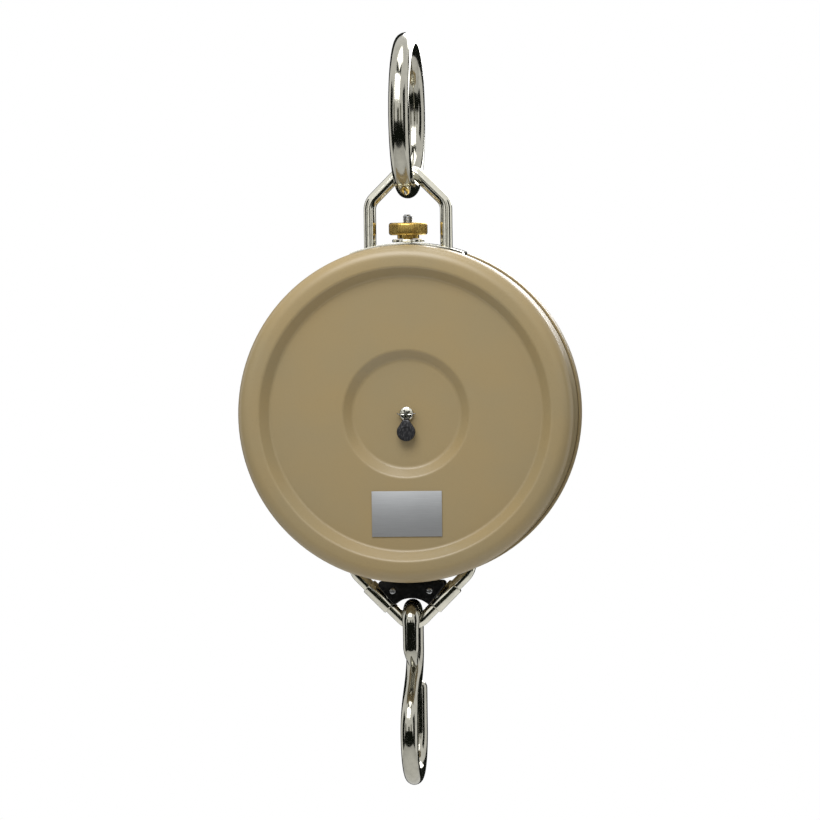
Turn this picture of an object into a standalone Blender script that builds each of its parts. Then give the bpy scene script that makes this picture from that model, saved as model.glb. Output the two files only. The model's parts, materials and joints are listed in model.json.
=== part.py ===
"""Hanging spring scale with a round dial case, hung from a ring and loaded on a hook.

Metres, +Z up. The case's rear cover faces -Y and its dial faces +Y.
The origin is the hang point: the top of the ring's inside, where a support's hook bears.
"""

from math import atan2, ceil, cos, hypot, pi, radians, sin, sqrt, tan

import bmesh
import bpy
from mathutils import Matrix, Vector

MM = 0.001

# Clearance between pieces that touch or fit, and how round the turned pieces are.
GAP = 0.3 * MM
LARGE_STEPS = 48
SMALL_STEPS = 12
SCREW_STEPS = 8
MERGE = 0.001 * MM

# Top ring and bail.
RING_ROD = 14.0 * MM
RING_INSIDE = 85.5 * MM
BAIL_ROD = 8.5 * MM
BAIL_SPREAD = 52.4 * MM
BAIL_RISE = 51.5 * MM
BAIL_SLOPE = radians(45)
BAIL_SHOULDER_BEND = 11.0 * MM

# Drum, with its rear cover, bezel, glass and dial. Depths are measured from the load plane.
DRUM_RADIUS = 113.5 * MM
DRUM_WALL = 1.5 * MM
DRUM_REAR = 25.5 * MM
DRUM_FRONT = 27.5 * MM
SHEET = 1.2 * MM
COVER_LAP = 7.5 * MM
COVER_SHOULDER = 9.0 * MM
COVER_RIM = 8.0 * MM
COVER_STEP = 8.0 * MM
COVER_STEP_SLOPE = 6.5 * MM
COVER_CENTRE_RADIUS = 37.0 * MM
COVER_CENTRE_STEP = 5.5 * MM
BEZEL_LAP = 10.5 * MM
BEZEL_LIP = 11.5 * MM
BEZEL_THICKNESS = 1.5 * MM
GASKET_THICKNESS = 1.9 * MM
GASKET_WIDTH = 5.0 * MM
GLASS_THICKNESS = 2.7 * MM
DIAL_THICKNESS = 1.2 * MM
DIAL_DEPTH = 15.0 * MM
DIAL_EDGE_CLEARANCE = 0.8 * MM
LABEL_SIZE = (48.0 * MM, 31.0 * MM, 0.4 * MM)
LABEL_DROP = 68.0 * MM

# Saddle, zero nut and stud.
SADDLE_THICKNESS = 2.5 * MM
SADDLE_CHORD = 83.0 * MM
SADDLE_DEPTH = 30.0 * MM
SEAT_DIAMETER = 22.0 * MM
SEAT_THICKNESS = 2.0 * MM
NUT_DIAMETER = 26.5 * MM
NUT_HEIGHT = 8.5 * MM
NUT_BOSS = (15.0 * MM, 2.6 * MM)
STUD_DIAMETER = 7.0 * MM
STUD_ABOVE_NUT = 5.5 * MM

# Frame inside the drum.
FRAME_THICKNESS = 2.0 * MM
FRAME_WIDTH = 32.0 * MM
TOP_BLOCK = (64.0 * MM, 12.0 * MM)
BOTTOM_BLOCK = (40.0 * MM, 12.0 * MM)
FRAME_SCREW_OFFSET = 11.0 * MM
BRIDGE_SPAN = 25.0 * MM
BRIDGE_FOOT = 7.0 * MM
BRIDGE_SHEET = 2.2 * MM
BRIDGE_HEIGHT = 12.0 * MM

# Springs and the bars they pull between.
SPRING_WIRE = 3.0 * MM
SPRING_OUTSIDE = 16.0 * MM
SPRING_TURNS = 10
SPRING_SPREAD = 48.0 * MM
HANGER_HEIGHT = 50.0 * MM
HANGER_BAR = (72.0 * MM, 11.0 * MM, 8.0 * MM)
CROSSBAR_TOP = 30.0 * MM
CROSSBAR = (96.0 * MM, 12.0 * MM, 10.0 * MM)
PLUG_LENGTH = 9.0 * MM

# Rack, pinion and pointer.
GEAR_MODULE = 0.7 * MM
PINION_TEETH = 12
PINION_WIDTH = 8.0 * MM
RACK_WIDTH = 5.0 * MM
RACK_BACK = 6.0 * MM
RACK_STEM = 3.6 * MM
GUIDE_WIDTH = 5.0 * MM
BUSH_RADIUS = 3.5 * MM
SMALL_SCREW = 2.2 * MM
DIAL_POST = 62.0 * MM
TRAVEL = 25.0 * MM
ARBOR_DIAMETER = 3.0 * MM
POINTER_LENGTH = 88.0 * MM
POINTER_TAIL = 28.0 * MM
POINTER_SHEET = 0.8 * MM
POINTER_STANDOFF = 3.8 * MM

# Guard, load link and hook below the drum.
GUARD_THICKNESS = 2.5 * MM
GUARD_SPACE = 12.6 * MM
GUARD_SHOULDER = 51.0 * MM
GUARD_TIP_SPREAD = 24.0 * MM
GUARD_HEIGHT = 16.5 * MM
GUARD_STANDOFF = 1.0 * MM
GUARD_TAB = 32.0 * MM
GUARD_ARC = 18.0 * MM
GUARD_SCREW = (12.6 * MM, 6.9 * MM)
LINK_ROD = 8.5 * MM
LINK_SPREAD = 80.0 * MM
LINK_DROP = 30.1 * MM
LINK_SLOPE = radians(45)
LINK_BEND = 14.0 * MM
SLEEVE = (11.0 * MM, 21.0 * MM)
SLEEVE_OUT = 22.5 * MM
HOOK_ROD = 12.0 * MM
HOOK_EYE = 24.4 * MM
HOOK_EYE_LEG = 15.0 * MM
HOOK_EYE_END = 0.58
HOOK_BOWL = 60.0 * MM
HOOK_BOWL_DROP = 74.9 * MM
HOOK_TIP_RISE = 34.5 * MM

# Seal on the rear cover.
SEAL_SCREW_HEAD = (9.8 * MM, 2.8 * MM)
SEAL_SCREW_SHANK = 5.0 * MM
SEAL_WIRE = 1.1 * MM
SEAL_SIZE = (12.8 * MM, 14.7 * MM, 3.0 * MM)
SEAL_DROP = 11.3 * MM

# Worked out from the sizes above: heights are from the drum's centre, depths run to the front.
RING_RADIUS = (RING_INSIDE + RING_ROD) / 2
RING_CENTRE = -RING_INSIDE / 2
BAIL_BEND = (RING_ROD + BAIL_ROD) / 2 + GAP
BAIL_APEX = DRUM_RADIUS + BAIL_RISE
PIVOT_HEIGHT = RING_CENTRE - RING_RADIUS + BAIL_BEND
DRUM_BORE = DRUM_RADIUS - DRUM_WALL
COVER_RADIUS = DRUM_RADIUS + GAP + SHEET
COVER_DEPTH = COVER_SHOULDER + SHEET + GAP
COVER_PANEL = -(DRUM_REAR + COVER_DEPTH - COVER_STEP)
COVER_CENTRE = COVER_PANEL + COVER_CENTRE_STEP
SADDLE_TOP = DRUM_RADIUS + GAP + SADDLE_THICKNESS
SEAT_TOP = SADDLE_TOP + GAP + SEAT_THICKNESS
NUT_TOP = SEAT_TOP + GAP + NUT_BOSS[1] + NUT_HEIGHT
BLOCK_DEPTH = GUARD_SPACE + 2 * (GUARD_THICKNESS + GAP)
FRAME_INSIDE = BLOCK_DEPTH / 2 + GAP
FRAME_OUTSIDE = FRAME_INSIDE + FRAME_THICKNESS
TOP_BLOCK_TOP = sqrt(DRUM_BORE ** 2 - (TOP_BLOCK[0] / 2) ** 2) - GAP
BOTTOM_BLOCK_BASE = -sqrt(DRUM_BORE ** 2 - (BOTTOM_BLOCK[0] / 2) ** 2) + GAP
TOP_SCREW_HEIGHT = TOP_BLOCK_TOP - TOP_BLOCK[1] / 2
BOTTOM_SCREW_HEIGHT = BOTTOM_BLOCK_BASE + BOTTOM_BLOCK[1] / 2
FRAME_SCREW = 4.0 * MM
PITCH_RADIUS = GEAR_MODULE * PINION_TEETH / 2
TOOTH_PITCH = pi * GEAR_MODULE
RACK_FACE = -PITCH_RADIUS
RACK_REAR = RACK_FACE - RACK_BACK
GUIDE_MIDDLE = RACK_REAR - GAP - GUIDE_WIDTH / 2
STEM_MIDDLE = RACK_REAR + 2.6 * MM
LINK_APEX = -(DRUM_RADIUS + LINK_DROP)
LINK_APEX_BEND = (HOOK_ROD + LINK_ROD) / 2 + GAP
GUARD_TOP = -(DRUM_RADIUS + GUARD_STANDOFF)
DIAL_BACK = DIAL_DEPTH
DIAL_FACE = DIAL_DEPTH + DIAL_THICKNESS


def clean_scene():
    for thing in list(bpy.data.objects):
        bpy.data.objects.remove(thing)


def collection(name):
    made = bpy.data.collections.new(name)
    bpy.context.scene.collection.children.link(made)
    return made


def material(name, colour, roughness, metallic):
    made = bpy.data.materials.new(name)
    made.use_nodes = True
    shader = made.node_tree.nodes["Principled BSDF"]
    shader.inputs["Base Color"].default_value = (*colour, 1.0)
    shader.inputs["Roughness"].default_value = roughness
    shader.inputs["Metallic"].default_value = metallic
    return made


FINISHES = {
    "chrome": ((0.75, 0.75, 0.73), 0.12, 1.0),
    "steel": ((0.55, 0.56, 0.57), 0.35, 1.0),
    "brass": ((0.62, 0.45, 0.16), 0.3, 1.0),
    "beige": ((0.45, 0.36, 0.25), 0.4, 0.0),
    "black": ((0.02, 0.02, 0.02), 0.35, 0.0),
    "white": ((0.85, 0.85, 0.82), 0.5, 0.0),
    "rubber": ((0.04, 0.04, 0.04), 0.8, 0.0),
    "glass": ((0.85, 0.9, 0.9), 0.05, 0.0),
    "lead": ((0.08, 0.08, 0.09), 0.5, 1.0),
    "bare_label": ((0.6, 0.6, 0.6), 0.4, 1.0),
}


class Shop:
    """Where pieces are put: their collection, the cutters' collection and the pivots."""

    def __init__(self):
        self.parts = collection("hanging_spring_scale")
        self.cutters = collection("cutters")
        self.pivots = {}

    def pivot(self, name, place, parent=None):
        empty = bpy.data.objects.new(name, None)
        empty.empty_display_size = 10 * MM
        self.parts.objects.link(empty)
        empty.location = place
        if parent:
            empty.parent = self.pivots[parent]
        self.pivots[name] = empty
        bpy.context.view_layer.update()
        return empty

    def piece(self, name, data, pivot, finish, place=(0, 0, 0), turn=(0, 0, 0)):
        thing = bpy.data.objects.new(name, data)
        self.parts.objects.link(thing)
        thing.location = place
        thing.rotation_euler = turn
        thing.parent = self.pivots[pivot]
        thing.data.materials.append(material(name, *FINISHES[finish]))
        return thing

    def cut(self, thing, cutter_mesh, operation="DIFFERENCE"):
        """Takes the cutter, given in world coordinates, out of the piece or joins it on."""
        cutter = bpy.data.objects.new(thing.name + "_cutter", cutter_mesh)
        self.cutters.objects.link(cutter)
        cutter.hide_render = True
        cutter.display_type = "WIRE"
        boolean = thing.modifiers.new("cut", "BOOLEAN")
        boolean.operation = operation
        boolean.solver = "EXACT"
        boolean.object = cutter


def both(name):
    """The names of a left and a right piece, each with the sign of its side."""
    return ((name + "_left", -1), (name + "_right", 1))


def as_mesh(thing):
    """Turns a curve object into a mesh object with its caps joined on."""
    graph = bpy.context.evaluated_depsgraph_get()
    mesh = bpy.data.meshes.new_from_object(thing.evaluated_get(graph))
    shape = bmesh.new()
    shape.from_mesh(mesh)
    bmesh.ops.remove_doubles(shape, verts=shape.verts, dist=MERGE)
    shape.to_mesh(mesh)
    shape.free()
    made = bpy.data.objects.new(thing.name, mesh)
    thing.users_collection[0].objects.link(made)
    made.parent = thing.parent
    made.matrix_world = thing.matrix_world
    name = thing.name
    bpy.data.objects.remove(thing)
    made.name = name
    mesh.name = name
    return made


# Turned onto a depth axis, a profile's height runs to the rear.
FACING_REAR = (pi / 2, 0, 0)
UPRIGHT = (0, 0, 0)


def clockwise(points):
    area = 0.0
    for (x0, y0), (x1, y1) in zip(points, points[1:] + points[:1]):
        area += x0 * y1 - x1 * y0
    return points if area < 0 else points[::-1]


def turned(shop, name, profile, pivot, finish, place=(0, 0, 0), turn=UPRIGHT, steps=SMALL_STEPS):
    """A turned piece from its (radius, height) outline; one that starts on the axis is solid."""
    outline = clockwise(profile)
    ring = all(radius > MERGE for radius, _ in outline)
    if not ring:
        on_axis = [point for point in outline if point[0] <= MERGE]
        off_axis = [point for point in outline if point[0] > MERGE]
        on_axis.sort(key=lambda point: -point[1])
        start = outline.index(on_axis[0])
        outline = outline[start:] + outline[:start]
        assert outline[-1] == on_axis[-1] and len(off_axis) == len(outline) - 2
    mesh = bpy.data.meshes.new(name)
    edges = [(i, i + 1) for i in range(len(outline) - 1)]
    if ring:
        edges.append((len(outline) - 1, 0))
    mesh.from_pydata([(radius, 0, height) for radius, height in outline], edges, [])
    thing = shop.piece(name, mesh, pivot, finish, place, turn)
    spin = thing.modifiers.new("turn", "SCREW")
    spin.steps = steps
    spin.render_steps = steps
    spin.use_merge_vertices = True
    spin.merge_threshold = MERGE
    spin.use_smooth_shade = True
    return thing


def tube(inner, outer, low, high):
    return [(outer, high), (outer, low), (inner, low), (inner, high)]


def disc(radius, low, high):
    return [(0, high), (radius, high), (radius, low), (0, low)]


def circle(centre, radius, steps=SMALL_STEPS):
    return [
        (centre[0] + radius * cos(2 * pi * i / steps), centre[1] + radius * sin(2 * pi * i / steps))
        for i in range(steps)
    ]


def rectangle(centre, width, height):
    x, y = centre
    return [
        (x - width / 2, y - height / 2),
        (x + width / 2, y - height / 2),
        (x + width / 2, y + height / 2),
        (x - width / 2, y + height / 2),
    ]


def arc(centre, radius, first, last, steps):
    """Points along an arc, both ends included; the angles are in radians."""
    angles = [first + (last - first) * i / steps for i in range(steps + 1)]
    return [(centre[0] + radius * cos(a), centre[1] + radius * sin(a)) for a in angles]


def plate(shop, name, outlines, thickness, pivot, finish, place=(0, 0, 0), turn=FACING_REAR):
    """A flat piece: the first outline, less the others; a mesh, so that it can be cut."""
    curve = bpy.data.curves.new(name, "CURVE")
    curve.dimensions = "2D"
    curve.fill_mode = "BOTH"
    curve.extrude = thickness / 2
    for outline in outlines:
        spline = curve.splines.new("POLY")
        spline.points.add(len(outline) - 1)
        for point, (x, y) in zip(spline.points, outline):
            point.co = (x, y, 0, 1)
        spline.use_cyclic_u = True
    thing = shop.piece(name, curve, pivot, finish, place, turn)
    bpy.context.view_layer.update()
    return as_mesh(thing)


def rod(shop, name, points, diameter, pivot, finish, sides=4, cyclic=False):
    """A round rod along points; a point's fourth number scales its radius."""
    curve = bpy.data.curves.new(name, "CURVE")
    curve.dimensions = "3D"
    curve.bevel_depth = diameter / 2
    curve.bevel_resolution = sides
    curve.use_fill_caps = not cyclic
    spline = curve.splines.new("POLY")
    spline.points.add(len(points) - 1)
    for point, where in zip(spline.points, points):
        point.co = (*where[:3], 1)
        point.radius = where[3] if len(where) > 3 else 1.0
    spline.use_cyclic_u = cyclic
    thing = shop.piece(name, curve, pivot, finish)
    bpy.context.view_layer.update()
    made = as_mesh(thing)
    made.data.shade_smooth()
    return made


def bent_path(corners, bends, steps=6):
    """A path through the corners, each inner corner rounded to its bend radius."""
    path = [Vector(corners[0])]
    for i, bend in enumerate(bends, start=1):
        before, corner, after = (Vector(corners[j]) for j in (i - 1, i, i + 1))
        back = (before - corner).normalized()
        on = (after - corner).normalized()
        half = back.angle(on) / 2
        centre = corner + (back + on).normalized() * bend / sin(half)
        start = corner + back * bend / tan(half) - centre
        finish = corner + on * bend / tan(half) - centre
        sweep = start.angle(finish)
        for k in range(steps + 1):
            share = k / steps
            along = start * sin((1 - share) * sweep) + finish * sin(share * sweep)
            path.append(centre + along / sin(sweep))
    path.append(Vector(corners[-1]))
    return [tuple(point) for point in path]


def bezier(start, start_pull, end_pull, end, steps):
    """Points on a cubic curve, without its first one."""
    made = []
    for k in range(1, steps + 1):
        t = k / steps
        weights = ((1 - t) ** 3, 3 * (1 - t) ** 2 * t, 3 * (1 - t) * t * t, t ** 3)
        spots = (start, start_pull, end_pull, end)
        made.append(tuple(sum(w * p[i] for w, p in zip(weights, spots)) for i in range(2)))
    return made


def solid_union(shapes):
    """One mesh of separate closed shapes, each (kind, centre, size): a box or a drill."""
    shape = bmesh.new()
    for kind, centre, size in shapes:
        place = Matrix.Translation(centre)
        if kind == "box":
            bmesh.ops.create_cube(shape, size=1.0, matrix=place @ Matrix.Diagonal((*size, 1.0)))
            continue
        turn = {"x": Matrix.Rotation(pi / 2, 4, "Y"), "y": Matrix.Rotation(pi / 2, 4, "X")}
        diameter, length = size
        bmesh.ops.create_cone(
            shape,
            cap_ends=True,
            segments=SMALL_STEPS,
            radius1=diameter / 2,
            radius2=diameter / 2,
            depth=length,
            matrix=place @ turn.get(kind, Matrix.Identity(4)),
        )
    mesh = bpy.data.meshes.new("cutter")
    shape.to_mesh(mesh)
    shape.free()
    return mesh


def pan_screw(diameter, length, head=None):
    """Outline of a pan head screw: its shank ends at 0 and its head is on top."""
    head_radius, head_height = head or (diameter * 0.95, diameter * 0.6)
    return [
        (0, length + head_height),
        (head_radius * 0.6, length + head_height),
        (head_radius, length + head_height * 0.55),
        (head_radius, length),
        (diameter / 2, length),
        (diameter / 2, 0),
        (0, 0),
    ]


def hexagon(across, hole):
    corner = across / 2 / cos(pi / 6)
    return [circle((0, 0), corner, 6), circle((0, 0), hole / 2, SMALL_STEPS)]


def drum(height):
    """A height above the drum's centre, in world coordinates."""
    return PIVOT_HEIGHT - BAIL_APEX + height


def make_pivots(shop):
    shop.pivot("hang_point", (0, 0, 0))
    shop.pivot("bail_axis", (0, 0, PIVOT_HEIGHT))
    shop.pivot("drum", (0, 0, -BAIL_APEX), "bail_axis")
    shop.pivot("nut_axis", (0, 0, SEAT_TOP), "drum")
    shop.pivot("arbor_axis", (0, 0, 0), "drum")
    shop.pivot("hook_axis", (0, 0, LINK_APEX), "drum")
    shop.pivot("seal_axis", (0, COVER_CENTRE - GAP - SEAL_SCREW_HEAD[1] / 2, 0), "drum")


def make_ring_and_bail(shop):
    points = [(0, y, z) for y, z in circle((0, RING_CENTRE), RING_RADIUS, 40)]
    rod(shop, "top_ring", points, RING_ROD, "hang_point", "chrome", cyclic=True)
    peak = BAIL_APEX + BAIL_BEND * (1 / cos(BAIL_SLOPE) - 1)
    side = BAIL_SPREAD / 2
    shoulder = peak - side * tan(BAIL_SLOPE)
    foot = TOP_BLOCK_TOP - TOP_BLOCK[1] - 9 * MM
    corners = [(-side, 0, foot), (-side, 0, shoulder), (0, 0, peak), (side, 0, shoulder), (side, 0, foot)]
    bends = (BAIL_SHOULDER_BEND, BAIL_BEND, BAIL_SHOULDER_BEND)
    rod(shop, "bail", bent_path(corners, bends), BAIL_ROD, "drum", "chrome")
    nut_height = 7 * MM
    under_block = TOP_BLOCK_TOP - TOP_BLOCK[1] - GAP - nut_height / 2
    for name, sign in both("bail_nut"):
        plate(shop, name, hexagon(13 * MM, BAIL_ROD + 2 * GAP), nut_height, "drum", "steel",
              (sign * side, 0, under_block), UPRIGHT)


def make_zero_adjuster(shop):
    reach = SADDLE_CHORD / 2 / (DRUM_RADIUS + GAP)
    inner = arc((0, 0), DRUM_RADIUS + GAP, pi / 2 - reach, pi / 2 + reach, 16)
    outer = arc((0, 0), SADDLE_TOP, pi / 2 + reach - 0.02, pi / 2 - reach + 0.02, 16)
    saddle = plate(shop, "saddle_plate", [inner + outer], SADDLE_DEPTH, "drum", "chrome")
    holes = [("z", (side * BAIL_SPREAD / 2, 0, drum(SADDLE_TOP)), (BAIL_ROD + 2 * GAP, 40 * MM))
             for side in (-1, 1)]
    stud_hole = STUD_DIAMETER + 2 * GAP
    holes.append(("z", (0, 0, drum(SADDLE_TOP)), (stud_hole, 40 * MM)))
    shop.cut(saddle, solid_union(holes))
    seat = tube(stud_hole / 2, SEAT_DIAMETER / 2, SADDLE_TOP + GAP, SEAT_TOP)
    turned(shop, "nut_seat", seat, "drum", "chrome", steps=24)
    bore, boss, outside = stud_hole / 2, NUT_BOSS[0] / 2, NUT_DIAMETER / 2
    edge = 1.2 * MM
    nut = [
        (bore, GAP),
        (boss, GAP),
        (boss, GAP + NUT_BOSS[1]),
        (outside - edge, GAP + NUT_BOSS[1]),
        (outside, GAP + NUT_BOSS[1] + edge),
        (outside, NUT_TOP - SEAT_TOP - edge),
        (outside - edge, NUT_TOP - SEAT_TOP),
        (bore, NUT_TOP - SEAT_TOP),
    ]
    turned(shop, "zero_nut", nut, "nut_axis", "brass", steps=24)
    stud_foot = HANGER_HEIGHT - 6 * MM
    stud = disc(STUD_DIAMETER / 2, stud_foot - SEAT_TOP, NUT_TOP + STUD_ABOVE_NUT - SEAT_TOP)
    turned(shop, "zero_stud", stud, "nut_axis", "steel", steps=SMALL_STEPS)


def make_case(shop):
    shell = turned(shop, "drum_shell", tube(DRUM_BORE, DRUM_RADIUS, -DRUM_FRONT, DRUM_REAR),
                   "drum", "beige", turn=FACING_REAR, steps=LARGE_STEPS)
    bail_hole = BAIL_ROD + 2 * GAP
    cuts = [("z", (side * BAIL_SPREAD / 2, 0, drum(DRUM_BORE)), (bail_hole, 30 * MM)) for side in (-1, 1)]
    cuts.append(("z", (0, 0, drum(DRUM_BORE)), (STUD_DIAMETER + 2 * GAP, 30 * MM)))
    slot = LINK_ROD + 1.6 * MM
    for side in (-1, 1):
        cuts.append(("box", (side * (LINK_SPREAD / 2 - GAP), 0, drum(-DRUM_BORE + 6 * MM)),
                     (LINK_ROD + 4 * MM, slot, 24 * MM)))
        tab_middle = side * (GUARD_SPACE + GUARD_THICKNESS) / 2
        cuts.append(("box", (0, tab_middle, drum(-DRUM_BORE)),
                     (GUARD_TAB + 2 * GAP, GUARD_THICKNESS + 2 * GAP, 12 * MM)))
    shop.cut(shell, solid_union(cuts))

    rim = DRUM_REAR + COVER_DEPTH
    lap = DRUM_REAR - COVER_LAP
    rim_edge = COVER_RADIUS - COVER_SHOULDER + 2 * MM
    recess = rim_edge - COVER_RIM
    panel = recess - COVER_STEP_SLOPE
    step = COVER_CENTRE_RADIUS + COVER_STEP_SLOPE
    outside = [(COVER_RADIUS, lap)]
    outside += [
        (COVER_RADIUS - COVER_SHOULDER + COVER_SHOULDER * cos(a), rim - COVER_SHOULDER * (1 - sin(a)))
        for a in (0, pi / 10, pi / 5, 3 * pi / 10, 2 * pi / 5, pi / 2)
    ]
    outside += [
        (recess, rim),
        (recess - 1.5 * MM, rim - 1.2 * MM),
        (panel + 1.5 * MM, -COVER_PANEL + 1.2 * MM),
        (panel, -COVER_PANEL),
        (step, -COVER_PANEL),
        (COVER_CENTRE_RADIUS, -COVER_CENTRE),
        (SEAL_SCREW_SHANK / 2 + GAP, -COVER_CENTRE),
    ]
    inside = [(SEAL_SCREW_SHANK / 2 + GAP, -COVER_CENTRE - SHEET)]
    inside += [(COVER_CENTRE_RADIUS + 0.6 * MM, -COVER_CENTRE - SHEET)]
    inside += [(step + 0.6 * MM, -COVER_PANEL - SHEET), (panel + SHEET, -COVER_PANEL - SHEET)]
    inside += [(recess + SHEET, rim - SHEET - 0.6 * MM)]
    bore = DRUM_RADIUS + GAP
    inside += [
        (bore - COVER_SHOULDER + COVER_SHOULDER * cos(a), rim - SHEET - COVER_SHOULDER * (1 - sin(a)))
        for a in (pi / 2, pi / 4, 0)
    ]
    inside += [(bore, lap)]
    turned(shop, "rear_cover", outside + inside, "drum", "beige", turn=FACING_REAR, steps=LARGE_STEPS)
    width, height, thick = LABEL_SIZE
    label_y = COVER_PANEL - GAP - thick / 2
    plate(shop, "label_plate", [rectangle((0, -LABEL_DROP), width, height)], thick, "drum",
          "bare_label", (0, label_y, 0))

    gasket_front = DRUM_FRONT + GAP + GASKET_THICKNESS
    glass_front = gasket_front + GAP + GLASS_THICKNESS
    lip_back = glass_front + GAP
    lip_front = lip_back + BEZEL_THICKNESS
    turned(shop, "glass_gasket", tube(DRUM_RADIUS - GASKET_WIDTH, DRUM_RADIUS, -gasket_front, -DRUM_FRONT - GAP),
           "drum", "rubber", turn=FACING_REAR, steps=LARGE_STEPS)
    turned(shop, "dial_glass", disc(DRUM_RADIUS, -glass_front, -gasket_front - GAP),
           "drum", "glass", turn=FACING_REAR, steps=LARGE_STEPS)
    bezel = [
        (COVER_RADIUS, -DRUM_FRONT + BEZEL_LAP),
        (COVER_RADIUS, -lip_front + 1.5 * MM),
        (COVER_RADIUS - 1.5 * MM, -lip_front),
        (COVER_RADIUS - BEZEL_LIP, -lip_front),
        (COVER_RADIUS - BEZEL_LIP, -lip_back),
        (bore, -lip_back),
        (bore, -DRUM_FRONT + BEZEL_LAP),
    ]
    turned(shop, "bezel", bezel, "drum", "chrome", turn=FACING_REAR, steps=LARGE_STEPS)


def make_frame(shop):
    top, foot = TOP_BLOCK_TOP, BOTTOM_BLOCK_BASE
    strip = rectangle((0, (top + foot) / 2), FRAME_WIDTH, top - foot - 4 * MM)
    hole = FRAME_SCREW / 2 + GAP
    screws = [(x * FRAME_SCREW_OFFSET, z) for x in (-1, 1) for z in (TOP_SCREW_HEIGHT, BOTTOM_SCREW_HEIGHT)]
    bush_hole = circle((0, 0), BUSH_RADIUS + GAP)
    shared = [circle(spot, hole, SCREW_STEPS) for spot in screws] + [bush_hole]
    small = SMALL_SCREW / 2 + GAP
    dial_holes = [circle((0, z * DIAL_POST), small, SCREW_STEPS) for z in (-1, 1)]
    middle = FRAME_INSIDE + FRAME_THICKNESS / 2
    plate(shop, "rear_plate", [strip] + shared, FRAME_THICKNESS, "drum", "steel",
          (0, -middle, 0))
    plate(shop, "front_plate", [strip] + shared + dial_holes, FRAME_THICKNESS, "drum",
          "steel", (0, middle, 0))

    width, height = TOP_BLOCK
    screw_holes = [circle((x * FRAME_SCREW_OFFSET, TOP_SCREW_HEIGHT), hole, SCREW_STEPS) for x in (-1, 1)]
    block = plate(shop, "top_block", [rectangle((0, top - height / 2), width, height)] + screw_holes,
                  BLOCK_DEPTH, "drum", "steel")
    bores = [("z", (x * BAIL_SPREAD / 2, 0, drum(top)), (BAIL_ROD + 2 * GAP, 50 * MM)) for x in (-1, 1)]
    bores.append(("z", (0, 0, drum(top)), (STUD_DIAMETER + 2 * GAP, 50 * MM)))
    shop.cut(block, solid_union(bores))
    width, height = BOTTOM_BLOCK
    screw_holes = [circle((x * FRAME_SCREW_OFFSET, BOTTOM_SCREW_HEIGHT), hole, SCREW_STEPS) for x in (-1, 1)]
    plate(shop, "bottom_block", [rectangle((0, foot + height / 2), width, height)] + screw_holes,
          GUARD_SPACE - 2 * GAP, "drum", "steel")

    reach = 2 * FRAME_OUTSIDE + 2 * GAP + 1.5 * MM
    for level, z in (("upper", TOP_SCREW_HEIGHT), ("lower", BOTTOM_SCREW_HEIGHT)):
        for name, sign in both(level + "_frame_bolt"):
            turned(shop, name, pan_screw(FRAME_SCREW, reach), "drum", "steel",
                   (sign * FRAME_SCREW_OFFSET, reach - FRAME_OUTSIDE - GAP, z), FACING_REAR, SCREW_STEPS)


def make_cover_bridge(shop):
    back = FRAME_OUTSIDE + GAP
    rise = -COVER_CENTRE - SHEET - GAP
    inner_foot = BRIDGE_SPAN / 2 - BRIDGE_FOOT / 2
    outer_foot = BRIDGE_SPAN / 2 + BRIDGE_FOOT / 2
    half = [
        (outer_foot, back),
        (outer_foot, back + BRIDGE_SHEET),
        (inner_foot + BRIDGE_SHEET, back + BRIDGE_SHEET),
        (inner_foot + BRIDGE_SHEET, rise),
    ]
    under = [(inner_foot, rise - BRIDGE_SHEET), (inner_foot, back)]
    outline = half + [(-x, y) for x, y in reversed(half)]
    outline += [(-x, y) for x, y in reversed(under)] + under
    bridge = plate(shop, "cover_bridge", [[(x, -y) for x, y in outline]], BRIDGE_HEIGHT, "drum", "steel",
                   turn=UPRIGHT)
    shop.cut(bridge, solid_union([("y", (0, -rise, drum(0)), (SEAL_SCREW_SHANK + 2 * GAP, 8 * MM))]))

    head_width, head_height = SEAL_SCREW_HEAD
    shank = 8 * MM
    seal_screw = turned(shop, "seal_screw", pan_screw(SEAL_SCREW_SHANK, shank, (head_width / 2, head_height)),
                        "drum", "chrome", (0, COVER_CENTRE - GAP + shank, 0), FACING_REAR, 20)
    wire_y = COVER_CENTRE - GAP - head_height / 2
    shop.cut(seal_screw, solid_union([("x", (0, wire_y, drum(0)), (SEAL_WIRE + 2 * GAP, 20 * MM))]))
    side = head_width / 2 + 1.4 * MM
    width, tall, thick = SEAL_SIZE
    seal_top = -SEAL_DROP + tall / 2
    hang_y = -head_height / 2 - GAP - thick / 2
    corners = [(-1.6 * MM, hang_y, seal_top + 3 * GAP), (-side, hang_y, 0.6 * MM), (-side, 0, 0), (side, 0, 0),
               (side, hang_y, 0.6 * MM), (1.6 * MM, hang_y, seal_top + 3 * GAP)]
    wire = bent_path(corners, (1.2 * MM,) * 4, 3)
    rod(shop, "seal_wire", wire, SEAL_WIRE, "seal_axis", "lead", sides=2)
    drop = arc((0, -SEAL_DROP - tall / 2 + width / 2), width / 2, radians(155), radians(385), 14)
    teardrop = drop + [(2.6 * MM, seal_top), (-2.6 * MM, seal_top)]
    plate(shop, "lead_seal", [teardrop], thick, "seal_axis", "lead", (0, hang_y, 0))


def lugged_bar(shop, name, outlines, height, lug_side, pivot, place):
    """A flat bar with two round lugs that the springs' end turns sit on."""
    bar = plate(shop, name, outlines, height, pivot, "steel", place, UPRIGHT)
    lug = SPRING_OUTSIDE / 2 - SPRING_WIRE - GAP
    overlap = 1 * MM
    length = PLUG_LENGTH + overlap
    middle = lug_side * (height / 2 - overlap + length / 2)
    centre = bar.matrix_world.translation
    lugs = [("z", (sign * SPRING_SPREAD / 2, 0, centre.z + middle), (2 * lug, length)) for sign in (-1, 1)]
    shop.cut(bar, solid_union(lugs), "UNION")


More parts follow.
